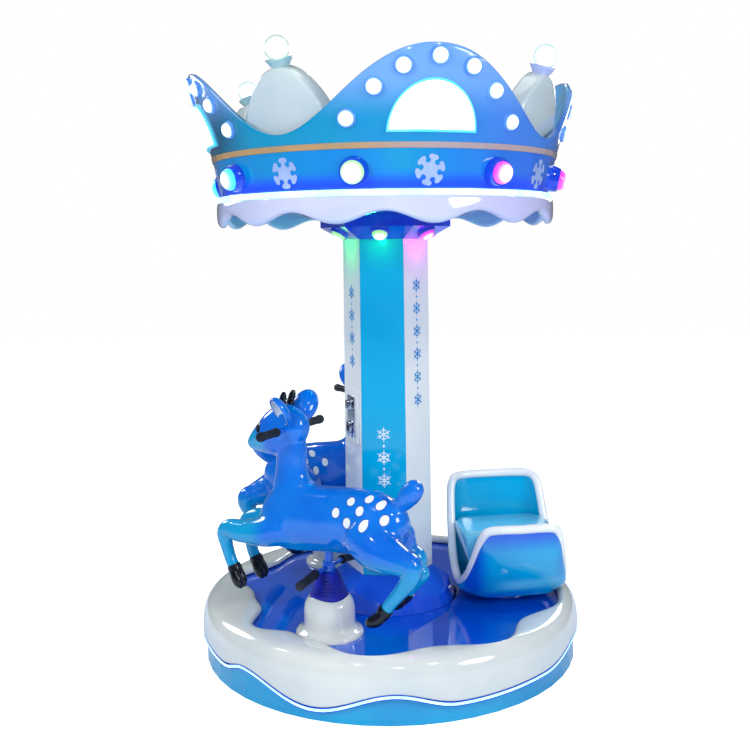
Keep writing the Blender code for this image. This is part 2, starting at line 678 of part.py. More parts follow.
def ball_body(name, place, foot, material):
    """A ball cut flat where it sits on its collar."""
    sink = 0.009
    shape = bmesh.new()
    bmesh.ops.create_uvsphere(shape, u_segments=12, v_segments=8, radius=BALL_RADIUS)
    bmesh.ops.translate(shape, vec=(0, 0, foot + BALL_RADIUS - sink), verts=shape.verts)
    cut = bmesh.ops.bisect_plane(shape, geom=shape.verts[:] + shape.edges[:] + shape.faces[:],
                                 plane_co=(0, 0, foot + GAP), plane_no=(0, 0, 1), clear_inner=True)
    rim = [item for item in cut["geom_cut"] if isinstance(item, bmesh.types.BMEdge)]
    bmesh.ops.contextual_create(shape, geom=rim)
    bmesh.ops.transform(shape, matrix=place, verts=shape.verts)
    mesh = bpy.data.meshes.new(name)
    shape.to_mesh(mesh)
    shape.free()
    return add_object(name, mesh, material)


# The lift of each deer: a white dome, and ribbed bellows round the pole
def make_lift(which, bearing):
    place = at(SEAT_RADIUS, bearing)
    foot = FLOOR_TOP + GAP
    turned(f"lift_dome_{which}",
           [(LIFT_FLANGE, foot), (LIFT_FLANGE - 0.004, foot + 0.016), (LIFT_RADIUS, foot + 0.030),
            (LIFT_RADIUS, 0.300), (LIFT_RADIUS - 0.009, 0.335), (LIFT_RADIUS - 0.022, LIFT_TOP),
            (LIFT_BORE, LIFT_TOP), (LIFT_BORE, foot)],
           finish("snow_white", SNOW, 0.18), segments=24, place=place)
    low = LIFT_TOP + GAP
    outline = [(BELLOWS_BORE, low), (LIFT_BORE + 0.003, low)]
    for rib in range(BELLOWS_RIBS):
        for share, depth in ((0.5, 0.0), (1.0, 0.006)):
            reach = (rib + share) / BELLOWS_RIBS
            radius = lerp(BELLOWS_FOOT, BELLOWS_HEAD, reach) - depth
            outline.append((radius, lerp(low, BELLOWS_TOP, reach)))
    outline.append((BELLOWS_BORE, BELLOWS_TOP))
    turned(f"bellows_{which}", outline, finish("bellows_blue", (0.01, 0.02, 0.36), 0.6), segments=16,
           place=place)


def grip(name, sign, height, forward, half, material):
    """A rubber sleeve on one end of a cross bar."""
    inner = half - GRIP_LENGTH
    return rod(name, (forward, sign * inner, height), (forward, sign * half, height), GRIP_RADIUS, material)


# The pole with the foot bar, which carries the deer
def make_stand(which, place):
    blue = finish("pole_blue", BLUE, 0.3)
    stand = rod(f"deer_{which}_stand", (0, 0, POLE_BOTTOM), (0, 0, POLE_TOP), POLE_RADIUS, blue)
    bar = rod(f"foot_bar_guide_{which}", (0, -FOOT_BAR_HALF + 0.01, FOOT_BAR_HEIGHT),
              (0, FOOT_BAR_HALF - 0.01, FOOT_BAR_HEIGHT), BAR_RADIUS, blue)
    combine(stand, bar, "UNION")
    bar.matrix_world = place
    for side, sign in (("left", 1), ("right", -1)):
        sleeve = grip(f"foot_grip_guide_{which}_{side}", sign, FOOT_BAR_HEIGHT, 0.0, FOOT_BAR_HALF, blue)
        sleeve.matrix_world = place
        combine(stand, sleeve, "UNION")
    stand.matrix_world = place


# The handle bar through the deer's head
def make_handles(which, place):
    black = finish("grip_black", (0.012, 0.012, 0.014), 0.7)
    forward, height = HANDLE_PLACE
    bar = rod(f"deer_{which}_handles", (forward, -HANDLE_HALF + 0.01, height),
              (forward, HANDLE_HALF - 0.01, height), BAR_RADIUS, black)
    for side, sign in (("left", 1), ("right", -1)):
        sleeve = grip(f"hand_grip_guide_{which}_{side}", sign, height, forward, HANDLE_HALF, black)
        sleeve.matrix_world = place
        combine(bar, sleeve, "UNION")
    bar.matrix_world = place


def upright_loft(name, stations, material, sides=10):
    """A loft through ellipses that stand across the deer's length."""
    rings = []
    for forward, middle, half_height, half_width in stations:
        ring = []
        for side in range(sides):
            angle = math.tau * side / sides
            ring.append((forward, half_width * math.cos(angle), middle + half_height * math.sin(angle)))
        rings.append(ring)
    return bridged(name, rings, False, material)


def level_loft(name, stations, material, sides=10):
    """A loft through level ellipses, for the neck."""
    rings = []
    for height, forward, half_length, half_width in stations:
        ring = []
        for side in range(sides):
            angle = math.tau * side / sides
            ring.append((forward + half_length * math.cos(angle), half_width * math.sin(angle), height))
        rings.append(ring)
    return bridged(name, rings, False, material)


def right_legs():
    """The right legs reach a little further forward than the left ones."""
    front = [(forward + 0.025 * (height < 0.56), -sideways, height - 0.02 * (height < 0.45), radius)
             for forward, sideways, height, radius in FRONT_LEG]
    hind = [(forward + 0.025 * (height < 0.5), -sideways, height - 0.004, radius)
            for forward, sideways, height, radius in HIND_LEG]
    return front, hind


# The deer: trunk, neck, head, ears, horns, tail and four legs in one shell
def make_deer(which, place):
    blue = finish("deer_blue", (0.0, 0.13, 0.70), 0.12)
    front, hind = right_legs()
    body = upright_loft(f"deer_{which}_body", TRUNK, blue)
    forms = [level_loft(f"neck_guide_{which}", NECK, blue),
             upright_loft(f"head_guide_{which}", HEAD, blue),
             limb(f"front_left_guide_{which}", FRONT_LEG, blue),
             limb(f"hind_left_guide_{which}", HIND_LEG, blue),
             limb(f"front_right_guide_{which}", front, blue),
             limb(f"hind_right_guide_{which}", hind, blue),
             leaf(f"tail_guide_{which}", TAIL_ROOT, TAIL_TIP, 0.036, 0.022, (1, 0, 1), blue)]
    for side, sign in (("left", 1), ("right", -1)):
        flip = Vector((1, sign, 1))
        forms.append(leaf(f"ear_guide_{which}_{side}", Vector(EAR_ROOT) * flip, Vector(EAR_TIP) * flip,
                          0.038, 0.016, (0.6, 0, -0.5), blue))
        forms.append(rod(f"horn_guide_{which}_{side}", Vector(HORN_ROOT) * flip, Vector(HORN_TIP) * flip,
                         HORN_RADIUS, blue, sides=8))
    for form in forms:
        form.matrix_world = place
        combine(body, form, "UNION")
    forward, height = HANDLE_PLACE
    holes = [rod(f"handle_hole_guide_{which}", (forward, -HANDLE_HALF, height), (forward, HANDLE_HALF, height),
                 BAR_RADIUS + GAP, blue),
             rod(f"pole_hole_guide_{which}", (0, 0, POLE_BOTTOM), (0, 0, POLE_TOP + GAP), POLE_RADIUS + GAP, blue)]
    for hole in holes:
        hole.matrix_world = place
        combine(body, hole, "DIFFERENCE")
    body.matrix_world = place


def sleigh_loop(points, drop, inset):
    """A full loop from half an edge, mirrored, moved down and inwards."""
    loop = []
    half = [Vector((x, y, z)) for x, y, z in points]
    whole = half + [Vector((p.x, -p.y, p.z)) for p in reversed(half[1:-1])]
    for point in whole:
        flat = Vector((point.x, point.y, 0))
        loop.append(point - flat.normalized() * inset - Vector((0, 0, drop)))
    return loop


def sleigh_foot(edge, height, inset):
    """The tub's small rounded bottom, a point under each point of its edge."""
    loop = []
    for point in edge:
        angle = math.atan2(point.y, point.x)
        loop.append(Vector(((0.165 - inset) * math.copysign(abs(math.cos(angle)) ** 0.6, math.cos(angle)),
                            (0.165 - inset) * math.copysign(abs(math.sin(angle)) ** 0.6, math.sin(angle)),
                            height)))
    return loop


def bulged(low, high, share, swell):
    """A loop between two others, swollen outwards."""
    loop = []
    for start, end in zip(low, high):
        point = start.lerp(end, share)
        out = Vector((point.x, point.y, 0)).normalized()
        loop.append(point + out * swell * 4 * share * (1 - share))
    return loop


def tube_loop(name, points, radius, material, sides=8):
    """A closed round tube along a loop of points."""
    rings = []
    count = len(points)
    for index, point in enumerate(points):
        along = (points[(index + 1) % count] - points[index - 1]).normalized()
        out = Vector((point.x, point.y, 0)).normalized()
        across = (out - along * along.dot(out)).normalized()
        up = along.cross(across)
        rings.append([point + across * (radius * math.cos(math.tau * side / sides))
                      + up * (radius * math.sin(math.tau * side / sides)) for side in range(sides)])
    return bridged(name, rings, True, material)


def bench_ring(front, side, rear, rear_side, height):
    """A level outline of the bench, with its rear corners cut off."""
    shoulder = -0.6 * rear
    return [(front, -side, height), (front, side, height), (shoulder, side, height), (-rear, rear_side, height),
            (-rear, -rear_side, height), (shoulder, -side, height)]


# The sleigh seat: a moulded tub with a bench, a white rim and a foot
def make_sleigh():
    place = seat_place(SLEIGH_BEARING)
    blue = finish("sleigh_blue", (0.0, 0.34, 0.72), 0.14)
    white = finish("snow_white", SNOW, 0.18)
    edge_half = catmull(SLEIGH_EDGE, 2)
    outer_edge = sleigh_loop(edge_half, 0.0, 0.0)
    inner_edge = sleigh_loop(edge_half, 0.0, SLEIGH_SHELL)
    foot = sleigh_foot(outer_edge, SLEIGH_FLOOR, 0.0)
    inner_foot = sleigh_foot(outer_edge, SLEIGH_FLOOR + SLEIGH_SHELL, SLEIGH_SHELL)
    rings = [foot]
    rings += [bulged(foot, outer_edge, share, 0.02) for share in (0.25, 0.6)]
    rings += [outer_edge, inner_edge]
    rings += [bulged(inner_foot, inner_edge, share, 0.02) for share in (0.6, 0.25)]
    rings += [inner_foot]
    tub = bridged("sleigh_tub", rings, False, blue)
    rim_path = sleigh_loop(edge_half, 0.0, SLEIGH_SHELL / 2)
    rim = tube_loop("sleigh_rim", rim_path, SLEIGH_RIM, white)
    seat_for_rim = tube_loop("rim_guide", rim_path, SLEIGH_RIM + GAP * 4, white)
    combine(tub, seat_for_rim, "DIFFERENCE")
    low = SLEIGH_FLOOR + SLEIGH_SHELL + GAP
    bench = bridged("sleigh_bench",
                    [bench_ring(0.095, 0.115, 0.07, 0.10, low), bench_ring(0.11, 0.178, 0.11, 0.13, BENCH_KNEE),
                     bench_ring(BENCH_FRONT, 0.200, 0.165, 0.155, BENCH_TOP)],
                    False, finish("bench_blue", (0.19, 0.68, 0.95), 0.14))
    foot_block = turned("sleigh_pedestal", [(0.11, FLOOR_TOP + GAP), (0.10, SLEIGH_FLOOR - GAP),
                                            (0.0, SLEIGH_FLOOR - GAP), (0.0, FLOOR_TOP + GAP)],
                        finish("floor_blue", DEEP_BLUE, 0.12), segments=24)
    for piece in (tub, rim, seat_for_rim, bench, foot_block):
        piece.matrix_world = place


clear_scene()
make_base()
make_floor()
make_snow_edge()
make_plinth()
make_column()
make_coin_door()
make_collar()
make_canopy()
make_crown()
make_crown_points()
make_snow_domes()
for deer, deer_bearing in DEER_BEARINGS.items():
    deer_place = seat_place(deer_bearing)
    make_lift(deer, deer_bearing)
    make_stand(deer, deer_place)
    make_handles(deer, deer_place)
    make_deer(deer, deer_place)
make_sleigh()
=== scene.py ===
"""The looks of a small fairground carousel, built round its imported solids.

Everything is in metres, +Z is up, and the front of the carousel looks along -Y. A bearing is an
angle in degrees seen from above, counted from the front towards +X.
"""
import math

import bmesh
import bpy
from mathutils import Matrix, Vector


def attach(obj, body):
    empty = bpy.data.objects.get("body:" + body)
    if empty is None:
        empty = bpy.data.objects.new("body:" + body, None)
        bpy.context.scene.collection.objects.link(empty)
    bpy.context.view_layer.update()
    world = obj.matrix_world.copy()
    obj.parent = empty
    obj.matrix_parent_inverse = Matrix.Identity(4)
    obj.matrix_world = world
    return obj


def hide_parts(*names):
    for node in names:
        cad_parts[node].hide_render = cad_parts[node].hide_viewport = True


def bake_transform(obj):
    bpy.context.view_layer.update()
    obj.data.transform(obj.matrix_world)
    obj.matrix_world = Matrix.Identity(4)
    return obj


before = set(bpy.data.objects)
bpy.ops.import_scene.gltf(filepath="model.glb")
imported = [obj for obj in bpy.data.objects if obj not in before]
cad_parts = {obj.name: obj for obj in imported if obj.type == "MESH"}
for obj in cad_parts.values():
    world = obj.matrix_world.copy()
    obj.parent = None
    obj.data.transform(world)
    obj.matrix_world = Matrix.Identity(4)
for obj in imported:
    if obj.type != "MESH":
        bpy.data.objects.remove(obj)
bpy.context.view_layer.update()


# Camera: an eye-level view from about four metres in front of the column, turned a little to the
# left and rolled by less than a degree, as the photograph is framed.
EYE = (-0.0072, -4.1043, 1.6824)
LENS = 47.17
DOWN, LEFT, ROLL = 3.3, 0.534, -0.771
FRAME_SHIFT = -0.0998

bpy.ops.object.camera_add(location=EYE)
camera = bpy.context.active_object
camera.name = "studio_camera"
camera.rotation_euler = (Matrix.Rotation(math.radians(LEFT), 3, "Z")
                         @ Matrix.Rotation(math.radians(90 - DOWN), 3, "X")
                         @ Matrix.Rotation(math.radians(ROLL), 3, "Z")).to_euler()
camera.data.lens = LENS
camera.data.sensor_width = 36.0
camera.data.shift_y = FRAME_SHIFT
camera.data.clip_start = 0.05
bpy.context.scene.camera = camera


# Studio: a plain pale floor, a white surround, and soft panels all round the object, with a few
# small bright lamps that give gloss paint its sharp points of light.
FLOOR_HALF = 14.0
SURROUND = (0.84, 0.93, 1.0)
# Place, size, power, and whether gloss paint mirrors the panel
PANELS = [((-2.6, -3.6, 2.8), 1.6, 76, False), ((3.2, -2.8, 2.4), 1.6, 62, True),
          ((2.4, 3.4, 3.0), 1.8, 56, True), ((-3.4, 2.2, 3.0), 1.8, 56, True),
          ((0.0, 0.0, 5.2), 2.2, 20, True), ((0.2, -4.6, 1.1), 1.6, 34, False)]
SPARKS = [((-1.4, -3.2, 4.4), 0.10, 16), ((1.7, -3.0, 4.2), 0.10, 14), ((-3.0, 0.4, 4.2), 0.12, 14),
          ((3.0, 0.9, 4.2), 0.12, 14), ((0.5, 3.2, 4.4), 0.12, 14), ((0.3, -3.8, 3.0), 0.07, 9)]


def say_colour(red, green, blue):
    """A screen colour, 0 to 255, as the linear one that a shader takes."""
    channels = []
    for value in (red, green, blue):
        share = value / 255
        channels.append(share / 12.92 if share <= 0.04045 else ((share + 0.055) / 1.055) ** 2.4)
    return (*channels, 1.0)


def panel_light(place, size, power, mirrored, name):
    bpy.ops.object.light_add(type="AREA", location=place)
    lamp = bpy.context.active_object
    lamp.name = name
    lamp.data.shape = "DISK"
    lamp.data.size = size
    lamp.data.energy = power
    lamp.visible_glossy = mirrored
    lamp.rotation_euler = (Vector((0, 0, 1.1)) - Vector(place)).to_track_quat("-Z", "Y").to_euler()


for index, panel in enumerate(PANELS):
    panel_light(*panel, f"soft_panel_{index + 1}")
for index, (place, size, power) in enumerate(SPARKS):
    panel_light(place, size, power, True, f"small_lamp_{index + 1}")

world = bpy.data.worlds.new("white_surround")
bpy.context.scene.world = world
world.use_nodes = True
sky = world.node_tree.nodes
sky_links = world.node_tree.links
sky_path = sky.new("ShaderNodeLightPath")
sky_mix = sky.new("ShaderNodeMixShader")
sky_seen = sky.new("ShaderNodeBackground")
sky_seen.inputs["Color"].default_value = (1, 1, 1, 1)
sky["Background"].inputs["Color"].default_value = (*SURROUND, 1)
sky_strength = sky.new("ShaderNodeMapRange")
sky_strength.inputs["To Min"].default_value = 0.30
sky_strength.inputs["To Max"].default_value = 0.13
sky_links.new(sky_path.outputs["Is Glossy Ray"], sky_strength.inputs["Value"])
sky_links.new(sky_strength.outputs["Result"], sky["Background"].inputs["Strength"])
sky_links.new(sky_path.outputs["Is Camera Ray"], sky_mix.inputs["Fac"])
sky_links.new(sky["Background"].outputs["Background"], sky_mix.inputs[1])
sky_links.new(sky_seen.outputs["Background"], sky_mix.inputs[2])
sky_links.new(sky_mix.outputs["Shader"], sky["World Output"].inputs["Surface"])
bpy.context.scene.view_settings.view_transform = "Standard"


def new_material(name):
    """A fresh node material, with its shader, nodes and links."""
    material = bpy.data.materials.new(name)
    material.use_nodes = True
    tree = material.node_tree
    return material, tree.nodes["Principled BSDF"], tree.nodes, tree.links


def value_of(nodes, links, source, low, high, to_low, to_high, smooth=False):
    """A Map Range node fed by a socket."""
    ranged = nodes.new("ShaderNodeMapRange")
    ranged.interpolation_type = "SMOOTHSTEP" if smooth else "LINEAR"
    for name, value in (("From Min", low), ("From Max", high), ("To Min", to_low), ("To Max", to_high)):
        ranged.inputs[name].default_value = value
    links.new(source, ranged.inputs["Value"])
    return ranged.outputs["Result"]


def noise_of(nodes, links, scale, detail=2.0):
    """A Noise node on the object's own coordinates."""
    place = nodes.new("ShaderNodeTexCoord")
    noise = nodes.new("ShaderNodeTexNoise")
    noise.inputs["Scale"].default_value = scale
    noise.inputs["Detail"].default_value = detail
    links.new(place.outputs["Object"], noise.inputs["Vector"])
    return noise.outputs["Fac"]


def mixed(nodes, links, share, first, second):
    """A colour between two, each a screen colour or a socket."""
    mix = nodes.new("ShaderNodeMix")
    mix.data_type = "RGBA"
    links.new(share, mix.inputs[0])
    for socket, colour in ((mix.inputs[6], first), (mix.inputs[7], second)):
        if isinstance(colour, bpy.types.NodeSocket):
            links.new(colour, socket)
        else:
            socket.default_value = say_colour(*colour)
    return mix.outputs[2]


def orange_peel(shader, nodes, links):
    """The faint ripple of sprayed gloss."""
    bump = nodes.new("ShaderNodeBump")
    bump.inputs["Strength"].default_value = 0.035
    bump.inputs["Distance"].default_value = 0.0006
    links.new(noise_of(nodes, links, 140.0, 3.0), bump.inputs["Height"])
    links.new(bump.outputs["Normal"], shader.inputs["Normal"])


def gloss_paint(name, tone, shade, patch=2.2, rough=(0.07, 0.16), metallic=0.0, coat=0.6):
    """Sprayed gloss paint or gel coat: two close tones in soft patches under a clear coat."""
    material, shader, nodes, links = new_material(name)
    share = value_of(nodes, links, noise_of(nodes, links, patch, 3.0), 0.34, 0.66, 0.0, 1.0, True)
    links.new(mixed(nodes, links, share, tone, shade), shader.inputs["Base Color"])
    links.new(value_of(nodes, links, noise_of(nodes, links, 9.0, 4.0), 0.3, 0.7, *rough),
              shader.inputs["Roughness"])
    shader.inputs["Metallic"].default_value = metallic
    shader.inputs["Coat Weight"].default_value = coat
    shader.inputs["Coat Roughness"].default_value = 0.03
    orange_peel(shader, nodes, links)
    return material


floor_paint = gloss_paint("pale_studio_floor", (206, 220, 238), (200, 214, 236),
                          rough=(0.6, 0.7), coat=0.0)
floor_nodes, floor_links = floor_paint.node_tree.nodes, floor_paint.node_tree.links
floor_path = floor_nodes.new("ShaderNodeLightPath")
floor_shader = floor_nodes["Principled BSDF"]
floor_shader.inputs["Emission Color"].default_value = (1, 1, 1, 1)
floor_links.new(value_of(floor_nodes, floor_links, floor_path.outputs["Is Camera Ray"], 0, 1, 0.03, 0.97),
                floor_shader.inputs["Emission Strength"])
bpy.ops.mesh.primitive_plane_add(size=2 * FLOOR_HALF, location=(0, 0, -0.0004))
studio_floor = bpy.context.active_object
studio_floor.name = "studio_floor"
studio_floor.data.materials.append(floor_paint)


# Ground ring: a moulded glass-fibre ring in sky blue that stands on the ground and hides the welded
# steel frame. The ring and the frame are right in the solids, so they only get their finishes.
def paint_solid(node, material):
    """A carried-over solid takes a finish."""
    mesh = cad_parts[node].data
    mesh.materials.clear()
    mesh.materials.append(material)


wall_paint = gloss_paint("ground_ring_gel_coat", (0, 162, 214), (0, 148, 206), coat=0.8)
frame_steel = gloss_paint("frame_steel_paint", (70, 74, 80), (52, 55, 60), patch=14.0,
                          rough=(0.35, 0.6), metallic=0.4, coat=0.0)
for index in range(4):
    paint_solid(f"base_wall_{index + 1}", wall_paint)
paint_solid("base_frame", frame_steel)


# Snow edge: a thick white glass-fibre moulding on the rim of the turning floor. Its inner edge is a
# wavy lip on the blue floor, and outside it hangs as a wavy skirt over the ground ring.
FLOOR_TOP = 0.203
SNOW_INNER = [(-165, 0.62), (-141, 0.668), (-122, 0.613), (-104, 0.672), (-83, 0.566), (-68, 0.558),
              (-50, 0.670), (-34, 0.595), (-7, 0.714), (14, 0.648), (35, 0.714), (53, 0.628), (74, 0.704),
              (92, 0.70), (125, 0.60), (158, 0.70)]
SNOW_LOWER = [(-175, 0.10), (-150, 0.055), (-122, 0.115), (-92, 0.06), (-70, 0.110), (-54, 0.100),
              (-45, 0.129), (-21, 0.052), (1, 0.118), (18, 0.076), (48, 0.084), (70, 0.124), (100, 0.06),
              (128, 0.11), (155, 0.055)]
SNOW_STEPS = 120
SEAT_RADIUS = 0.488
DEER_BEARINGS = {"front": -28.2, "rear": -148.2}
FLANGE_CLEAR = 0.142
SNOW_FOOT = FLOOR_TOP + 0.0006
SKIRT_LOW = 0.10
# Outline of the snow edge, as radius and height: lip, top, outer shoulder, skirt and underside
SNOW_OUTLINE = [(0.600, SNOW_FOOT), (0.6005, 0.220), (0.607, 0.2315), (0.622, 0.2365), (0.670, 0.2375),
                (0.735, 0.2345), (0.762, 0.2195), (0.7775, 0.190), (0.7825, 0.155), (0.783, 0.128),
                (0.783, SKIRT_LOW + 0.006), (0.7805, SKIRT_LOW), (0.773, SKIRT_LOW),
                (0.7705, SKIRT_LOW + 0.004), (0.770, 0.1515), (0.7426, 0.1515), (0.7426, SNOW_FOOT)]


def start(name):
    """Names the primitive that was just added."""
    piece = bpy.context.active_object
    piece.name = name
    piece.data.name = name
    return piece


def choose(*pieces):
    """Only these objects are selected, and the last is active."""
    if bpy.context.mode != "OBJECT":
        bpy.ops.object.mode_set(mode="OBJECT")
    bpy.ops.object.select_all(action="DESELECT")
    for piece in pieces:
        piece.select_set(True)
        bpy.context.view_layer.objects.active = piece


def edit(piece):
    """A piece in edit mode, with all of it selected."""
    choose(piece)
    bpy.ops.object.mode_set(mode="EDIT")
    bpy.ops.mesh.select_all(action="SELECT")


def leave():
    bpy.ops.object.mode_set(mode="OBJECT")


def pick(piece, test):
    """Selects the corners that a test on their place names."""
    bpy.ops.mesh.select_mode(type="VERT")
    shape = bmesh.from_edit_mesh(piece.data)
    for item in (*shape.verts, *shape.edges, *shape.faces):
        item.select = False
    shape.select_history.clear()
    for corner in shape.verts:
        if test(corner.co):
            corner.select = True
    shape.select_flush_mode()
    bmesh.update_edit_mesh(piece.data)


def modify(piece, kind, **settings):
    """Adds a modifier and applies it."""
    choose(piece)
    modifier = piece.modifiers.new(kind.lower(), kind)
    for setting, value in settings.items():
        setattr(modifier, setting, value)
    bpy.ops.object.modifier_apply(modifier=modifier.name)


def outward(piece):
    """Doubles merged and every face turned outwards."""
    edit(piece)
    bpy.ops.mesh.remove_doubles(threshold=0.00005)
    bpy.ops.mesh.normals_make_consistent(inside=False)
    leave()


def settle(*pieces):
    """The place of each piece goes into its mesh."""
    choose(*pieces)
    bpy.ops.object.transform_apply(location=True, rotation=True, scale=True)


def fit(piece, body, replaces=(), angle=40):
    """A finished piece: its round faces smooth, and riding on its body."""
    choose(piece)
    bpy.ops.object.shade_smooth_by_angle(angle=math.radians(angle))
    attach(piece, body)
    if replaces:
        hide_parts(*replaces)


def keep(piece, body, material, replaces=(), angle=40, place=None):
    """A piece of one finish, put at its place, settled and fitted."""
    if place is not None:
        piece.matrix_world = place
    settle(piece)
    piece.data.materials.clear()
    piece.data.materials.append(material)
    fit(piece, body, replaces, angle)


def drawn_line(name, points, closed=False):
    """A line drawn corner by corner with extrude, from one corner of a merged plane."""
    points = [Vector(point) for point in points]
    choose()
    bpy.ops.mesh.primitive_plane_add(size=0.01, location=(0, 0, 0))
    piece = start(name)
    edit(piece)
    bpy.ops.mesh.merge(type="CENTER")
    bpy.ops.transform.translate(value=points[0])
    for before, after in zip(points, points[1:]):
        bpy.ops.mesh.extrude_region_move(TRANSFORM_OT_translate={"value": after - before})
    if closed:
        ends = (points[0], points[-1])
        pick(piece, lambda co: any((co - end).length < 1e-5 for end in ends))
        bpy.ops.mesh.edge_face_add()
    leave()
    return piece


def turned(name, outline, steps=48, closed=False):
    """A turned shape: an outline of (radius, height) corners spun round an upright axis."""
    piece = drawn_line(name, [(radius, 0, height) for radius, height in outline], closed)
    edit(piece)
    bpy.ops.mesh.spin(steps=steps, angle=math.tau, center=(0, 0, 0), axis=(0, 0, 1))
    leave()
    outward(piece)
    return piece


def round_the_axis(radius, bearing, height=0.0):
    angle = math.radians(bearing)
    return Vector((radius * math.sin(angle), -radius * math.cos(angle), height))


def bearing_of(point):
    return math.degrees(math.atan2(point.x, -point.y))


def wave_at(keys, bearing):
    """The value at a bearing of a smooth closed curve through (bearing, value) keys."""
    count = len(keys)
    for index in range(count):
        first = keys[index][0]
        width = (keys[(index + 1) % count][0] - first) % 360
        offset = (bearing - first) % 360
        if offset <= width:
            share = (1 - math.cos(math.pi * offset / width)) / 2
            return keys[index][1] + (keys[(index + 1) % count][1] - keys[index][1]) * share
    return keys[0][1]


def snow_lip(bearing):
    """The radius of the lip, which stays outside the flanges of the lifts."""
    radius = wave_at(SNOW_INNER, bearing)
    for seat in DEER_BEARINGS.values():
        aside = SEAT_RADIUS * math.sin(math.radians(bearing - seat))
        ahead = SEAT_RADIUS * math.cos(math.radians(bearing - seat))
        if ahead > 0 and abs(aside) < FLANGE_CLEAR:
            radius = max(radius, ahead + math.sqrt(FLANGE_CLEAR ** 2 - aside ** 2))
    return radius


def reshape(piece, rule):
    """Every corner goes where a rule puts it."""
    edit(piece)
    shape = bmesh.from_edit_mesh(piece.data)
    for corner in shape.verts:
        corner.co = rule(corner.co)
    bmesh.update_edit_mesh(piece.data)
    leave()


SNOW_SHOULDER = 0.735
SNOW_FLAT = 0.622
SKIRT_HANG = 0.1513
SKIRT_FACE = 0.769


def wavy_snow(co):
    """The lip goes in or out with the bearing, and the skirt's lower edge up or down."""
    bearing = bearing_of(co)
    radius = math.hypot(co.x, co.y)
    if radius < SNOW_SHOULDER and co.z > SNOW_FOOT - 0.001:
        share = min(1.0, (SNOW_SHOULDER - radius) / (SNOW_SHOULDER - SNOW_FLAT))
        return co + round_the_axis(1.0, bearing) * (snow_lip(bearing) - SNOW_OUTLINE[0][0]) * share
    if radius > SKIRT_FACE and co.z < SKIRT_HANG:
        share = min(1.0, (SKIRT_HANG - co.z) / (SKIRT_HANG - SKIRT_LOW - 0.006))
        return co + Vector((0, 0, (wave_at(SNOW_LOWER, bearing) - SKIRT_LOW) * share))
    return co


snow_paint = gloss_paint("snow_gel_coat", (222, 226, 222), (210, 217, 217),
                         patch=3.0, coat=1.0)
snow_rim = turned("snow_edge", SNOW_OUTLINE, steps=SNOW_STEPS, closed=True)
reshape(snow_rim, wavy_snow)
modify(snow_rim, "SUBSURF", levels=1)
keep(snow_rim, "platform", snow_paint, ("snow_rim",), angle=60)


# Light strips: milky plastic strips lit from inside, under the snow edge and over the canopy's apron. The
# lower one sits between two thin blue beads and follows the wave of the skirt.
# The lower strip's section, as radius and height under the skirt's edge; the first and last steps are beads
STRIP_OUTLINE = [(0.7712, -0.0004), (0.7806, -0.0004), (0.7812, -0.0036), (0.7804, -0.0040),
                 (0.7804, -0.0138), (0.7812, -0.0142), (0.7806, -0.0174), (0.7712, -0.0174)]


def lit_plastic(name, tone, shade, low, high, scale=8.0):
    """Milky plastic with a light behind it, a little uneven."""
    material, shader, nodes, links = new_material(name)
    noise = noise_of(nodes, links, scale, 2.0)
    colour = mixed(nodes, links, value_of(nodes, links, noise, 0.35, 0.65, 0, 1, True), tone, shade)
    links.new(colour, shader.inputs["Emission Color"])
    links.new(colour, shader.inputs["Base Color"])
    links.new(value_of(nodes, links, noise, 0.3, 0.7, low, high), shader.inputs["Emission Strength"])
    shader.inputs["Roughness"].default_value = 0.22
    return material


strip_glow = lit_plastic("light_strip_milk", (206, 250, 255), (170, 238, 255), 0.75, 0.95)
bead_blue = gloss_paint("strip_bead_blue", (10, 74, 226), (0, 58, 208), patch=14.0)
strip = turned("base_strip", STRIP_OUTLINE, steps=180, closed=True)
strip.data.materials.append(strip_glow)
strip.data.materials.append(bead_blue)
for face in strip.data.polygons:
    face.material_index = 0 if -0.0139 < face.center.z < -0.0039 and face.normal.z ** 2 < 0.5 else 1
reshape(strip, lambda co: co + Vector((0, 0, wave_at(SNOW_LOWER, bearing_of(co)))))
fit(strip, "platform", ("base_light_strip",), angle=35)
paint_solid("canopy_light_strip", strip_glow)


# Turning floor: royal-blue gel coat with a deep gloss, on a painted steel drive ring.
floor_gel = gloss_paint("floor_gel_coat", (0, 92, 220), (0, 76, 204), patch=1.6,
                        rough=(0.05, 0.13), coat=1.0)
paint_solid("platform_floor", floor_gel)
paint_solid("drive_ring", frame_steel)


# Column foot: a moulded blue base with six sloping faces, in the same gel coat family as the floor.
plinth_gel = gloss_paint("plinth_gel_coat", (30, 92, 228), (6, 74, 214), coat=1.0)
paint_solid("column_plinth", plinth_gel)


# Column: six glossy sheet faces, blue and white by turns. Rows of snow crystals and diamonds are
# printed on them in blue and in white ink.
PLINTH_TOP = 0.327
COLUMN_TOP = 1.70
COLUMN_FOOT_RADIUS = 0.182
COLUMN_HEAD_RADIUS = 0.177
COLUMN_BEARING = -5.9
PRINT_THICKNESS = 0.0006
FLAKE_ARM = [(0.16, 0.092), (0.40, 0.060), (0.56, 0.27), (0.68, 0.22), (0.58, 0.060), (0.86, 0.060)]

panel_blue = gloss_paint("column_blue_sheet", (0, 168, 218), (0, 154, 208), patch=1.4)
panel_white = gloss_paint("column_white_sheet", (236, 241, 242), (216, 226, 232), patch=1.4)
print_blue = gloss_paint("print_blue_ink", (38, 150, 214), (22, 128, 204), patch=20.0)
print_white = gloss_paint("print_white_ink", (228, 240, 246), (206, 226, 238), patch=20.0)
for index in range(6):
    paint_solid(f"column_panel_{index + 1}", panel_blue if index % 2 == 0 else panel_white)


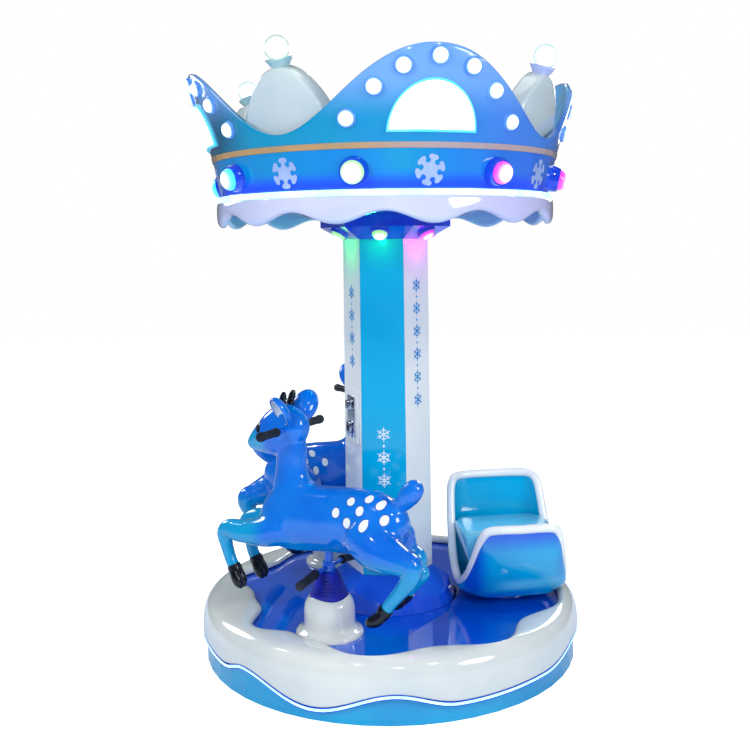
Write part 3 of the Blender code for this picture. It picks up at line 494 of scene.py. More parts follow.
def face_place(bearing, height, across=0.0, out=0.0):
    """A place on a column face: x to the right along the face, y up, z out of the face."""
    share = (height - PLINTH_TOP) / (COLUMN_TOP - PLINTH_TOP)
    corner = COLUMN_FOOT_RADIUS + (COLUMN_HEAD_RADIUS - COLUMN_FOOT_RADIUS) * share
    apothem = corner * math.cos(math.radians(30))
    return (Matrix.Translation(round_the_axis(apothem + out, bearing, height))
            @ Matrix.Rotation(math.radians(bearing), 4, "Z") @ Matrix.Rotation(math.radians(90), 4, "X")
            @ Matrix.Translation((across, 0, 0)))


def filled_outline(name, corners, thickness):
    """A flat plate from its outline, its back at z = 0."""
    piece = drawn_line(name, [(x, y, 0) for x, y in corners], closed=True)
    edit(piece)
    bpy.ops.mesh.edge_face_add()
    bpy.ops.mesh.extrude_region_move(TRANSFORM_OT_translate={"value": (0, 0, thickness)})
    leave()
    outward(piece)
    return piece


def six_arms(arm):
    """A snow crystal's outline: the corners of one arm, turned six times."""
    corners = []
    for index in range(6):
        turn = math.radians(60 * index + 90)
        corners += [(x * math.cos(turn) - y * math.sin(turn), x * math.sin(turn) + y * math.cos(turn))
                    for x, y in arm]
    return corners


def copied(source, name, place):
    """A copy with its own mesh, put at a place."""
    piece = source.copy()
    piece.data = source.data.copy()
    bpy.context.collection.objects.link(piece)
    piece.name = name
    piece.data.name = name
    piece.matrix_world = place
    return piece


def drop(*pieces):
    """Patterns that were only copied from."""
    choose(*pieces)
    bpy.ops.object.delete()


flake_arm = [(x, -y) for x, y in FLAKE_ARM] + [(1.0, 0.0)] + FLAKE_ARM[::-1]
flake = filled_outline("flake_pattern", six_arms(flake_arm), 1.0)
diamond = filled_outline("diamond_pattern", [(-0.5, 0), (0, -0.7), (0.5, 0), (0, 0.7)], 1.0)
# The rows of prints: face bearing, ink, first height, step, count and size
PRINT_ROWS = [("right", COLUMN_BEARING + 60, print_blue, 1.04, 0.094, 6, 0.032),
              ("left", COLUMN_BEARING - 60, print_blue, 1.20, 0.094, 4, 0.032),
              ("front", COLUMN_BEARING, print_white, 0.72, 0.094, 3, 0.032),
              ("back_right", COLUMN_BEARING + 120, print_white, 0.72, 0.094, 3, 0.032),
              ("back", COLUMN_BEARING + 180, print_blue, 1.04, 0.094, 6, 0.032),
              ("back_left", COLUMN_BEARING - 120, print_white, 0.72, 0.094, 3, 0.032)]
for side, bearing, ink, first, step, count, size in PRINT_ROWS:
    prints = []
    for index in range(2 * count - 1):
        pattern, across = (diamond, size * 0.32) if index % 2 else (flake, size)
        place = face_place(bearing, first + step * index / 2, out=0.0004)
        prints.append(copied(pattern, f"print_{side}_{index}",
                             place @ Matrix.Diagonal((across, across, PRINT_THICKNESS, 1))))
    choose(*prints)
    bpy.ops.object.join()
    joined = start(f"column_prints_{side}")
    keep(joined, "machine", ink, angle=20)


# Service door on the left white face: a thin white sheet door on a side hinge, with a chrome coin
# plate that carries the coin entry above the return cup.
DOOR_BEARING = COLUMN_BEARING - 60
DOOR_MIDDLE = 0.97
DOOR_FRONT = 0.007
# Each block's size, its bevel, and how far across, up and out of the door it sits
COIN_FITTINGS = [("coin_plate", (0.072, 0.172, 0.004), 0.0016, 0, 0, 0.0025),
                 ("coin_entry", (0.048, 0.038, 0.016), 0.005, 0, 0.047, 0.0122),
                 ("coin_cup", (0.044, 0.048, 0.013), 0.006, 0, -0.046, 0.0107)]
COIN_SLOTS = [("slot_in", (0.0035, 0.026, 0.0012), 0.0004, 0.004, 0.047, 0.0204),
              ("slot_out", (0.030, 0.026, 0.0012), 0.0004, 0, -0.048, 0.0174)]

chrome = gloss_paint("polished_chrome", (214, 218, 228), (190, 196, 212), patch=30.0,
                     rough=(0.04, 0.10), metallic=1.0, coat=0.0)
dark_slot = gloss_paint("black_slot", (12, 14, 22), (22, 24, 34), rough=(0.4, 0.6), coat=0.0)
paint_solid("coin_door", panel_white)


def joined_as(name, *pieces):
    """Pieces made one, each keeping its own materials and place."""
    settle(*pieces)
    bpy.ops.object.join()
    return start(name)


def door_block(name, size, bevel, across, up, out):
    """A block with rounded edges, at its place across, up and out of the door."""
    choose()
    bpy.ops.mesh.primitive_cube_add(size=1.0, location=(0, 0, 0))
    piece = start(name)
    edit(piece)
    bpy.ops.transform.resize(value=size)
    bpy.ops.mesh.bevel(offset=bevel, segments=3, affect="EDGES")
    leave()
    front = face_place(DOOR_BEARING, DOOR_MIDDLE, across, DOOR_FRONT)
    piece.matrix_world = front @ Matrix.Translation((0, up, out))
    return piece


keep(joined_as("coin_fittings", *[door_block(*block) for block in COIN_FITTINGS]), "coin_door", chrome,
     ("coin_mechanism",))
keep(joined_as("coin_slots", *[door_block(*block) for block in COIN_SLOTS]), "coin_door", dark_slot)


# Collar under the canopy: a dark-blue hexagonal moulding with a domed lamp on each sloping face, which
# throws its colour on the column below.
COLLAR_SLOPE_MIDDLE = (0.205, 1.726)
GLOW_PLACE = (0.226, 1.690)
GLOW_POWER = 0.45

collar_gel = gloss_paint("collar_gel_coat", (0, 66, 226), (0, 50, 206), coat=0.9)
paint_solid("hub_collar", collar_gel)


def lit_dome(name, rim_tone):
    """A lit lamp cap: white where its mark is high, its rim tinted."""
    material, shader, nodes, links = new_material(name)
    mark = nodes.new("ShaderNodeAttribute")
    mark.attribute_name = "rim"
    rim = value_of(nodes, links, mark.outputs["Fac"], 0.42, 0.98, 0, 1, True)
    noise = noise_of(nodes, links, 60.0, 2.0)
    warm = mixed(nodes, links, noise, (255, 255, 255), (240, 250, 255))
    colour = mixed(nodes, links, rim, warm, rim_tone)
    links.new(colour, shader.inputs["Emission Color"])
    links.new(colour, shader.inputs["Base Color"])
    links.new(value_of(nodes, links, rim, 0, 1, 1.25, 0.55), shader.inputs["Emission Strength"])
    shader.inputs["Roughness"].default_value = 0.12
    shader.inputs["Coat Weight"].default_value = 1.0
    return material


lamp_white = lit_dome("lamp_cap_white", (214, 236, 255))
lamp_cyan = lit_dome("lamp_cap_cyan", (70, 216, 250))
lamp_lime = lit_dome("lamp_cap_lime", (176, 244, 150))
lamp_pink = lit_dome("lamp_cap_pink", (248, 70, 226))
socket_blue = gloss_paint("lamp_socket_blue", (24, 72, 226), (8, 60, 206), patch=12.0)
socket_pale = gloss_paint("lamp_socket_pale_blue", (112, 170, 246), (84, 144, 236), patch=12.0)


def marked(piece):
    """Each corner is marked with its share of the way out to the rim."""
    reach = max(math.hypot(corner.co.x, corner.co.y) for corner in piece.data.vertices)
    layer = piece.data.attributes.new("rim", "FLOAT", "POINT")
    for index, corner in enumerate(piece.data.vertices):
        layer.data[index].value = math.hypot(corner.co.x, corner.co.y) / reach


def cap_outline(radius, height, foot, steps=8):
    """A domed cap from its foot to its crown."""
    outline = []
    for index in range(steps + 1):
        angle = math.pi / 2 * index / steps
        outline.append((radius * math.cos(angle), foot + height * math.sin(angle)))
    return outline


def lamp_pattern(name, radius, height, socket_reach, steps=24):
    """A lamp cap and its round socket, standing along z from the origin."""
    cap = turned(f"{name}_cap", cap_outline(radius, height, socket_reach - 0.001), steps)
    marked(cap)
    edge = radius * 1.16
    outline = [(edge * 1.10, -0.004), (edge * 1.08, socket_reach * 0.3), (edge, socket_reach * 0.86),
               (edge * 0.97, socket_reach), (radius * 1.02, socket_reach),
               (radius * 0.99, socket_reach - 0.002)]
    return cap, turned(f"{name}_socket", outline, steps)


def stood(point, outward_way):
    """A place whose z axis points along a direction."""
    out = outward_way.normalized()
    side = Vector((0, 0, 1)).cross(out).normalized()
    return Matrix.Translation(point) @ Matrix((side, out.cross(side), out)).transposed().to_4x4()


def set_lamps(name, pattern, places, tones, sleeve):
    """Copies of a lamp at its places: each cap by itself, and the sockets as one piece."""
    cap, socket = pattern
    sockets = []
    for index, (place, tone) in enumerate(zip(places, tones)):
        keep(copied(cap, f"{name}_cap_{index + 1}", place), "machine", tone, angle=60)
        sockets.append(copied(socket, f"{name}_socket_{index + 1}", place))
    keep(joined_as(f"{name}_sockets", *sockets), "machine", sleeve, angle=50)
    drop(cap, socket)


def tone_at(bearing):
    """The band's caps go from cyan at the left over lime to pink at the right."""
    turn = (bearing + 180) % 360 - 180
    return lamp_cyan if turn < -30 else lamp_lime if turn < 5 else lamp_pink


collar_places = []
for index in range(6):
    bearing = COLUMN_BEARING + 60 * index
    radius, height = COLLAR_SLOPE_MIDDLE
    collar_places.append(stood(round_the_axis(radius, bearing, height), round_the_axis(0.5, bearing, -0.84)))
    bpy.ops.object.light_add(type="POINT", location=round_the_axis(GLOW_PLACE[0], bearing, GLOW_PLACE[1]))
    glow = bpy.context.active_object
    glow.name = f"collar_glow_{index + 1}"
    glow.data.color = (1.0, 0.03, 0.75) if index in (1, 2) else (0.0, 1.0, 0.16)
    glow.data.energy = GLOW_POWER
    glow.data.shadow_soft_size = 0.012
set_lamps("collar_lamp", lamp_pattern("collar_lamp", 0.031, 0.022, 0.008), collar_places,
          [lamp_pink if index in (1, 2) else lamp_lime for index in range(6)], socket_blue)


# Canopy: a blue ceiling disc with a white glass-fibre snow apron round it, whose lower edge hangs in
# twelve waves. The disc is right in the solids; the apron gets its rounded edge.
SKIRT_RADIUS = 0.69
SKIRT_INNER = 0.6553
SKIRT_CREST = 1.797
SKIRT_WAVE = 0.047
SKIRT_WAVES = 12
CEILING_TOP = 1.85
APRON_OUTLINE = [(SKIRT_INNER, CEILING_TOP), (SKIRT_INNER, 1.812), (SKIRT_INNER + 0.002, SKIRT_CREST + 0.003),
                 (SKIRT_INNER + 0.007, SKIRT_CREST), (SKIRT_RADIUS - 0.014, SKIRT_CREST),
                 (SKIRT_RADIUS - 0.004, SKIRT_CREST + 0.005), (SKIRT_RADIUS, SKIRT_CREST + 0.015),
                 (SKIRT_RADIUS, 1.83), (SKIRT_RADIUS - 0.001, CEILING_TOP - 0.003),
                 (SKIRT_RADIUS - 0.004, CEILING_TOP)]


def wavy_apron(co):
    """The lower edge hangs down between the wave crests."""
    share = min(1.0, max(0.0, (CEILING_TOP - 0.004 - co.z) / (CEILING_TOP - 0.004 - SKIRT_CREST)))
    wave = (1 - math.cos(math.radians(bearing_of(co) * SKIRT_WAVES))) / 2
    return co - Vector((0, 0, SKIRT_WAVE * wave * share))


ceiling_paint = gloss_paint("ceiling_paint", (6, 82, 204), (0, 66, 186), patch=2.0,
                            rough=(0.12, 0.25))
paint_solid("ceiling", ceiling_paint)


def colour_of(material):
    """A material's nodes, links and shader, and the socket that colours it."""
    nodes, links = material.node_tree.nodes, material.node_tree.links
    shader = nodes["Principled BSDF"]
    return nodes, links, shader, shader.inputs["Base Color"].links[0].from_socket


def split_place(nodes, links, source=None):
    """The X, Y and Z of a vector, or of the object's own coordinates."""
    split = nodes.new("ShaderNodeSeparateXYZ")
    links.new(source or nodes.new("ShaderNodeTexCoord").outputs["Object"], split.inputs["Vector"])
    return split.outputs


def combine(nodes, links, kind, *values):
    """Two or more values, each a number or a socket, joined by Math nodes of one kind."""
    joined = values[0]
    for value in values[1:]:
        node = nodes.new("ShaderNodeMath")
        node.operation = kind
        for socket, item in zip(node.inputs, (joined, value)):
            if isinstance(item, bpy.types.NodeSocket):
                links.new(item, socket)
            else:
                socket.default_value = item
        joined = node.outputs["Value"]
    return joined


def painted_light_gel(name, tone, shade, masks, patch=2.2, coat=0.9):
    """Gel coat with painted light and shade, its colour changing with the place: each mask is the axis ("X",
    "Y", "Z" or "R" for the distance from the upright axis), where it starts and ends, and its colour."""
    material = gloss_paint(name, tone, shade, patch=patch, coat=coat)
    nodes, links, shader, colour = colour_of(material)
    place = nodes.new("ShaderNodeTexCoord")
    split = split_place(nodes, links, place.outputs["Object"])
    flat = nodes.new("ShaderNodeVectorMath")
    flat.operation = "MULTIPLY"
    flat.inputs[1].default_value = (1, 1, 0)
    links.new(place.outputs["Object"], flat.inputs[0])
    far = nodes.new("ShaderNodeVectorMath")
    far.operation = "LENGTH"
    links.new(flat.outputs["Vector"], far.inputs[0])
    for axis, first, last, hue, most in masks:
        source = far.outputs["Value"] if axis == "R" else split[axis]
        share = value_of(nodes, links, source, first, last, 0, most, True)
        colour = mixed(nodes, links, share, colour, hue)
    links.new(colour, shader.inputs["Base Color"])
    return material


# Painted light on the white apron: its lavender tint and the more lavender right-hand side are painted
# reflection, the bluer hanging tips are painted shade, and the pale blue inner face is painted light where
# shade falls.
apron_paint = painted_light_gel("apron_gel_coat_painted_light", (206, 210, 238), (192, 198, 236),
                         [("Z", 1.785, 1.750, (176, 200, 238), 0.8),
                          ("X", 0.1, 0.6, (196, 192, 244), 0.6),
                          ("R", 0.674, 0.664, (150, 206, 250), 1.0)], coat=1.0)
apron = turned("canopy_snow_apron", APRON_OUTLINE, steps=144, closed=True)
reshape(apron, wavy_apron)
modify(apron, "SUBSURF", levels=1)
keep(apron, "machine", apron_paint, ("canopy_snow_skirt",), angle=60)


# Crown band and gold strip: a blue band under a pale gold strip, right in the solids. The band carries
# eight big lamps in blue sockets, and a pale snow crystal between each pair.
STRIP_TOP = 1.872
BAND_TOP = 2.010
BAND_FOOT_RADIUS = 0.668
BAND_HEAD_RADIUS = 0.699
CROWN_FLARE = 0.277
CROWN_BEARING = 13.5
BAND_LAMP_HEIGHT = 1.936
BAND_LAMPS = [CROWN_BEARING + 22.5 + 45 * index for index in range(8)]
BAND_FLAKES = [CROWN_BEARING + 45 * index for index in range(8)]
CRYSTAL_ARM = [(0.364, 0.210), (0.47, 0.125), (0.58, 0.130), (0.63, 0.245), (0.72, 0.300), (0.82, 0.270),
               (0.89, 0.150)]
CRYSTAL_TIP = 0.885
CRYSTAL_SIZE = 0.061


def crown_radius(height):
    """The outer radius of the crown's wall."""
    if height <= BAND_TOP:
        share = (height - STRIP_TOP) / (BAND_TOP - STRIP_TOP)
        return BAND_FOOT_RADIUS + (BAND_HEAD_RADIUS - BAND_FOOT_RADIUS) * share
    return BAND_HEAD_RADIUS + (height - BAND_TOP) * CROWN_FLARE


def onto_crown(bearing, middle):
    """A rule that lays a flat drawing (x to the right, y up, z out) onto the crown's wall."""
    def rule(co):
        height = middle + co.y
        radius = crown_radius(height)
        return round_the_axis(radius + co.z, bearing + math.degrees(co.x / radius), height)
    return rule


# Painted shade on the band: it goes a deeper blue towards its right-hand side and towards its lower edge.
band_paint = painted_light_gel("crown_band_gel_coat", (0, 146, 204), (0, 134, 214),
                        [("X", 0.05, 0.55, (44, 108, 226), 0.9),
                         ("Z", 1.945, 1.885, (20, 66, 246), 0.9)], patch=3.0)
# Painted reflection on the gold strip: it turns lavender grey towards its right-hand side.
gold_paint = painted_light_gel("pale_gold_strip", (190, 150, 100), (166, 140, 108),
                        [("X", -0.15, 0.2, (176, 160, 176), 0.7)], patch=2.4)
paint_solid("crown_band", band_paint)
paint_solid("gold_band", gold_paint)
paint_solid("crown_deck", ceiling_paint)
lamp_places = []
for bearing in BAND_LAMPS:
    foot = round_the_axis(crown_radius(BAND_LAMP_HEIGHT) - 0.004, bearing, BAND_LAMP_HEIGHT)
    lamp_places.append(stood(foot, round_the_axis(1.0, bearing, -0.22)))
set_lamps("band_lamp", lamp_pattern("band_lamp", 0.042, 0.036, 0.036), lamp_places,
          [tone_at(bearing) for bearing in BAND_LAMPS], socket_blue)
pale_print = gloss_paint("pale_blue_print", (166, 188, 232), (150, 174, 228), patch=9.0)
crystal_arm = [(x, -y) for x, y in CRYSTAL_ARM] + [(CRYSTAL_TIP, 0.0)] + CRYSTAL_ARM[:0:-1]
crystal = filled_outline("crystal_pattern", six_arms(crystal_arm), 1.0)
flakes = []
for index, bearing in enumerate(BAND_FLAKES):
    tilt = Matrix.Rotation(math.radians(-14 * (index % 2 == 0)), 4, "Z")
    piece = copied(crystal, f"band_flake_{index}",
                   tilt @ Matrix.Diagonal((CRYSTAL_SIZE, CRYSTAL_SIZE, 0.0012, 1)))
    settle(piece)
    reshape(piece, onto_crown(bearing, BAND_LAMP_HEIGHT))
    flakes.append(piece)
keep(joined_as("band_snowflakes", *flakes), "machine", pale_print, angle=30)
drop(flake, diamond, crystal)


# Crown points: one moulded blue wall with four high waves and a rounded lip. Seven lamps in raised
# sockets follow the edge of each wave, and a lit half-moon window fills it.
GOLD_TOP = 2.031
CROWN_PEAK = 2.355
CROWN_VALLEY = 2.07
CROWN_FOOT = GOLD_TOP + 0.0003
SIGN_FOOT = 2.062
SIGN_HEIGHT = 0.178
SIGN_HALF = 0.162
# One wave's lamps: bearing from the wave's middle, and height
POINT_LAMPS = [(-23.7, 2.112), (-16.0, 2.213), (-8.5, 2.280), (0.6, 2.313), (9.8, 2.283), (17.4, 2.209),
               (24.8, 2.109)]
# Outline of the wall, as radius from the wall's face and share of its height
WALL_OUTLINE = [(0.0, 0.0), (0.0, 0.25), (0.0, 0.5), (0.0, 0.75), (0.0, 0.95), (-0.0015, 0.985),
                (-0.0065, 1.0), (-0.0185, 1.0), (-0.0235, 0.985), (-0.025, 0.95), (-0.025, 0.75),
                (-0.025, 0.5), (-0.025, 0.25), (-0.025, 0.0)]


def crown_height(bearing):
    """The height of the wall's edge."""
    offset = (bearing - CROWN_BEARING + 45) % 90 - 45
    rise = (1 + math.cos(math.pi * (abs(offset) / 45) ** 1.08)) / 2
    return CROWN_VALLEY + (CROWN_PEAK - CROWN_VALLEY) * rise


def wavy_wall(co):
    """The wall's plain ring goes up to its edge, and outwards with its height."""
    bearing = bearing_of(co)
    height = CROWN_FOOT + (crown_height(bearing) - CROWN_FOOT) * (co.z - CROWN_FOOT)
    return round_the_axis(crown_radius(height) + math.hypot(co.x, co.y) - 1.0, bearing, height)


# Painted light and shade on the crown wall: painted shade in deep teal at its far left and a deeper blue
# towards the right, and painted light paling its upper part.
crown_gel = painted_light_gel("crown_gel_coat", (0, 146, 190), (0, 136, 200),
                       [("X", -0.46, -0.64, (0, 84, 122), 0.9),
                        ("X", 0.05, 0.5, (70, 120, 228), 0.8),
                        ("Z", 2.10, 2.26, (112, 164, 232), 0.95)])
crown_gel_inside = gloss_paint("crown_gel_coat_inside", (116, 190, 238), (88, 168, 232), coat=0.9)
crown_wall = turned("crown_wall", [(1.0 + out, CROWN_FOOT + share) for out, share in WALL_OUTLINE], steps=192,
                    closed=True)
reshape(crown_wall, wavy_wall)
crown_wall.data.materials.append(crown_gel)
crown_wall.data.materials.append(crown_gel_inside)
for face in crown_wall.data.polygons:
    away = Vector((face.center.x, face.center.y, 0)).normalized()
    face.material_index = 1 if face.normal.dot(away) < -0.5 else 0
fit(crown_wall, "machine", [f"crown_lobe_{index + 1}" for index in range(4)], angle=50)

point_places = []
for wave in range(4):
    for offset, height in POINT_LAMPS:
        bearing = CROWN_BEARING + 90 * wave + offset
        point_places.append(stood(round_the_axis(crown_radius(height) - 0.002, bearing, height),
                                  round_the_axis(1.0, bearing, -0.27)))
set_lamps("point_lamp", lamp_pattern("point_lamp", 0.0275, 0.020, 0.012, 20), point_places,
          [lamp_white] * len(point_places), socket_pale)

sign_milk = lit_plastic("sign_milk", (246, 254, 255), (206, 244, 252), 0.85, 1.05)
sign_edge = lit_plastic("sign_edge_cyan", (96, 214, 240), (70, 196, 232), 0.35, 0.55)


def skinned(name, loops):
    """A skin over loops of as many corners each."""
    shape = bmesh.new()
    rings = [[shape.verts.new(corner) for corner in loop] for loop in loops]
    for low, high in zip(rings, rings[1:]):
        for index in range(len(low)):
            after = (index + 1) % len(low)
            shape.faces.new((low[index], low[after], high[after], high[index]))
    shape.faces.new(list(reversed(rings[0])))
    shape.faces.new(rings[-1])
    bmesh.ops.recalc_face_normals(shape, faces=shape.faces[:])
    mesh = bpy.data.meshes.new(name)
    shape.to_mesh(mesh)
    shape.free()
    piece = bpy.data.objects.new(name, mesh)
    bpy.context.collection.objects.link(piece)
    return piece


def half_moon(inset, level):
    """A half-moon outline, drawn in by an inset, at a level above the wall."""
    loop = []
    for step in range(41):
        angle = math.pi * step / 40
        loop.append(Vector(((SIGN_HALF - inset) * math.cos(angle),
                            inset + (SIGN_HEIGHT - 2 * inset) * math.sin(angle), level)))
    for share in (-0.75, -0.5, -0.25, 0, 0.25, 0.5, 0.75):
        loop.append(Vector(((SIGN_HALF - inset) * share, inset, level)))
    return loop


for wave in range(4):
    bearing = CROWN_BEARING + 90 * wave
    loops = [half_moon(inset, level) for inset, level in
             ((0.0, 0.0006), (0.0, 0.007), (0.0015, 0.0092), (0.006, 0.0098), (0.0085, 0.0088),
              (0.010, 0.0085), (0.03, 0.0085), (0.05, 0.0085), (0.07, 0.0085))]
    window = skinned(f"sign_window_{wave + 1}", loops)
    window.data.materials.append(sign_milk)
    window.data.materials.append(sign_edge)
    edge_faces = 4 * len(loops[0])
    for index, face in enumerate(window.data.polygons):
        face.material_index = 1 if index < edge_faces else 0
    reshape(window, onto_crown(bearing, SIGN_FOOT))
    fit(window, "machine", (f"sign_panel_{wave + 1}",), angle=30)


# Snow domes: thick white glass-fibre plates in the crown's dips, leaning outwards, each with a flared
# collar that holds a tinted glass ball with a lamp in it.
DECK_TOP = 2.0
DOME_BASE_RADIUS = 0.600
DOME_LEAN = 17.0
# Half of the plate's outline, out from its middle line and up, and the rounding of its edges
DOME_OUTLINE = [(0.183, -0.03), (0.186, 0.04), (0.185, 0.09), (0.179, 0.135), (0.166, 0.178), (0.146, 0.217),
                (0.121, 0.252), (0.093, 0.284), (0.064, 0.308), (0.036, 0.321), (0.012, 0.326)]
DOME_ROUNDING = [(-0.038, 0.012), (-0.0365, 0.0065), (-0.032, 0.002), (-0.026, 0.0),
                 (0.026, 0.0), (0.032, 0.002), (0.0365, 0.0065), (0.038, 0.012)]
COLLAR_FOOT = 0.322
COLLAR_OUTLINE = [(0.0, -0.004), (0.030, -0.004), (0.033, 0.004), (0.041, 0.018), (0.0495, 0.029),
                  (0.050, 0.032), (0.044, 0.0325), (0.036, 0.024), (0.0, 0.020)]
BALL_RADIUS = 0.045
BALL_CORE = 0.0375
BALL_MIDDLE = COLLAR_FOOT + 0.032 + BALL_RADIUS - 0.009

# Painted light on the snow plates: they turn a little lighter towards the top.
plate_paint = painted_light_gel("snow_plate_gel_coat", (198, 212, 218), (186, 202, 212),
                         [("Z", 2.20, 2.32, (204, 220, 216), 0.6)])
# Painted shade on the collars: they go greenish grey towards the left-hand side.
lavender_paint = painted_light_gel("collar_lavender_white", (190, 200, 240), (164, 178, 232),
                            [("X", 0.0, -0.3, (150, 192, 194), 0.9)], patch=20.0)
ball_core = lit_plastic("ball_core", (250, 255, 253), (226, 252, 250), 0.95, 1.25, 30.0)


def tinted_glass(name, tone):
    """A thin glass shell: clear to look through, its tint deepest at the rim."""
    material, shader, nodes, links = new_material(name)
    rim = nodes.new("ShaderNodeLayerWeight")
    rim.inputs["Blend"].default_value = 0.35
    noise = noise_of(nodes, links, 30.0, 2.0)
    colour = mixed(nodes, links, noise, tone, (255, 255, 255))
    share = value_of(nodes, links, rim.outputs["Facing"], 0.15, 0.9, 0.08, 0.75, True)
    links.new(mixed(nodes, links, share, colour, tone), shader.inputs["Base Color"])
    links.new(share, shader.inputs["Alpha"])
    links.new(colour, shader.inputs["Emission Color"])
    links.new(value_of(nodes, links, share, 0, 1, 0.1, 0.35), shader.inputs["Emission Strength"])
    shader.inputs["Roughness"].default_value = 0.04
    shader.inputs["Coat Weight"].default_value = 1.0
    return material


def smooth_line(points, steps, closed=False):
    """A line through all its points, with rounded bends."""
    points = [Vector(point) for point in points]
    count = len(points)
    line = []
    for index in range(count if closed else count - 1):
        if closed:
            before, first, second, after = (points[(index + shift) % count] for shift in (-1, 0, 1, 2))
        else:
            first, second = points[index], points[index + 1]
            before = points[index - 1] if index else first * 2 - second
            after = points[index + 2] if index + 2 < count else second * 2 - first
        for step in range(steps):
            t = step / steps
            line.append(0.5 * (2 * first + (second - before) * t
                               + (2 * before - 5 * first + 4 * second - after) * t * t
                               + (3 * first - before - 3 * second + after) * t ** 3))
    if not closed:
        line.append(points[-1])
    return line


ball_cyan = tinted_glass("ball_glass_cyan", (110, 214, 232))
ball_green = tinted_glass("ball_glass_green", (30, 176, 100))
half = smooth_line(DOME_OUTLINE, 4)
for index in range(4):
    bearing = CROWN_BEARING - 45 + 90 * index
    place = (Matrix.Translation(round_the_axis(DOME_BASE_RADIUS, bearing, DECK_TOP))
             @ Matrix.Rotation(math.radians(bearing), 4, "Z")
             @ Matrix.Rotation(math.radians(DOME_LEAN), 4, "X"))
    loops = []
    for depth, inset in DOME_ROUNDING:
        side = [Vector((x - inset * min(1.0, x / 0.05), depth, z - inset * max(0.0, (z - 0.2) / 0.126)))
                for x, z in half]
        loops.append(side + [Vector((-corner.x, corner.y, corner.z)) for corner in reversed(side)])
    dome = skinned(f"snow_plate_{index + 1}", loops)
    dome.matrix_world = place
    settle(dome)
    edit(dome)
    bpy.ops.mesh.bisect(plane_co=(0, 0, DECK_TOP + 0.0003), plane_no=(0, 0, 1), clear_inner=True,
                        use_fill=True)
    leave()
    keep(dome, "machine", plate_paint, (f"snow_dome_{index + 1}",), angle=50)
    flare = turned(f"plate_collar_{index + 1}",
                   [(radius, COLLAR_FOOT + height) for radius, height in COLLAR_OUTLINE], 32)
    keep(flare, "machine", lavender_paint, angle=40, place=place)
    for label, radius, finish in (("glass", BALL_RADIUS, ball_green if index == 0 else ball_cyan),
                                  ("core", BALL_CORE, ball_core)):
        choose()
        bpy.ops.mesh.primitive_uv_sphere_add(segments=40, ring_count=24, radius=radius,
                                             location=(0, 0, BALL_MIDDLE))
        ball = start(f"lamp_ball_{label}_{index + 1}")
        settle(ball)
        solids = (f"dome_ball_{index + 1}",) if label == "glass" else ()
        keep(ball, "machine", finish, solids, angle=60, place=place)


# Lifts: a white glass-fibre dome for each deer, its top edge cut in low waves, and dark-blue ribbed bellows
# of rubberised cloth round the pole; on the real lift they follow the pole up and down, here they keep one
# fixed shape.
LIFT_WAVES = 3
LIFT_OUTLINE = [(0.1298, 0.2034), (0.130, 0.209), (0.127, 0.217), (0.120, 0.2225), (0.110, 0.2265),
                (0.1025, 0.233), (0.0985, 0.243), (0.098, 0.262), (0.098, 0.288), (0.0965, 0.308),
                (0.0925, 0.325), (0.086, 0.338), (0.0790, 0.3475), (0.0765, 0.3490), (0.0735, 0.3475),
                (0.072, 0.340), (0.072, 0.31)]
BELLOWS_FOOT_Z = 0.3375
BELLOWS_NECK_Z = 0.3555
BELLOWS_HEAD_Z = 0.440
BELLOWS_HEAD = 0.0415
BELLOWS_RIBS = 7

bellows_cloth = gloss_paint("bellows_cloth", (14, 30, 176), (6, 18, 140), patch=26.0,
                            rough=(0.35, 0.55), coat=0.15)


def wavy_hem(co):
    """The dome's top edge goes up and down round it."""
    share = max(0.0, min(1.0, (co.z - 0.315) / 0.034))
    wave = math.cos(math.radians(bearing_of(co)) * LIFT_WAVES + 2.2)
    return co + Vector((0, 0, 0.0045 * wave * share))


def bellows_outline():
    outline = [(0.0215, BELLOWS_FOOT_Z), (0.0700, BELLOWS_FOOT_Z)]
    for rib in range(BELLOWS_RIBS):
        for share, depth in ((0.12, 0.0), (0.35, 0.0), (0.75, 0.0042), (0.95, 0.0042)):
            reach = (rib + share) / BELLOWS_RIBS
            outline.append((0.0735 + (BELLOWS_HEAD - 0.0735) * reach - depth,
                            BELLOWS_NECK_Z + (BELLOWS_HEAD_Z - BELLOWS_NECK_Z) * reach))
    return outline + [(BELLOWS_HEAD - 0.0045, BELLOWS_HEAD_Z), (0.0215, BELLOWS_HEAD_Z)]


for which, seat in DEER_BEARINGS.items():
    place = Matrix.Translation(round_the_axis(SEAT_RADIUS, seat))
    lift = turned(f"lift_dome_shell_{which}", LIFT_OUTLINE, 72)
    reshape(lift, wavy_hem)
    keep(lift, "platform", snow_paint, (f"lift_dome_{which}",), angle=50, place=place)
    bellows = turned(f"bellows_cloth_{which}", bellows_outline(), 56)
    bellows.matrix_world = place
    settle(bellows)
    bellows.data.materials.append(bellows_cloth)
    bpy.ops.object.shade_smooth_by_angle(angle=math.radians(40))
    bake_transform(bellows)
    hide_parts(f"bellows_{which}")


# Sleigh: a moulded glass-fibre tub with a high back, a pale bench inside and a fat white rim tube, on
# a short round foot. It stands a little askew.
SLEIGH_BEARING = 91.8
SLEIGH_FLOOR = 0.237
SLEIGH_SHELL = 0.014
SLEIGH_RIM = 0.018
FOOT_HALF = 0.178
FOOT_SQUARENESS = 0.42
SLEIGH_TURN = 6.5
SLEIGH_SWELL = 0.028
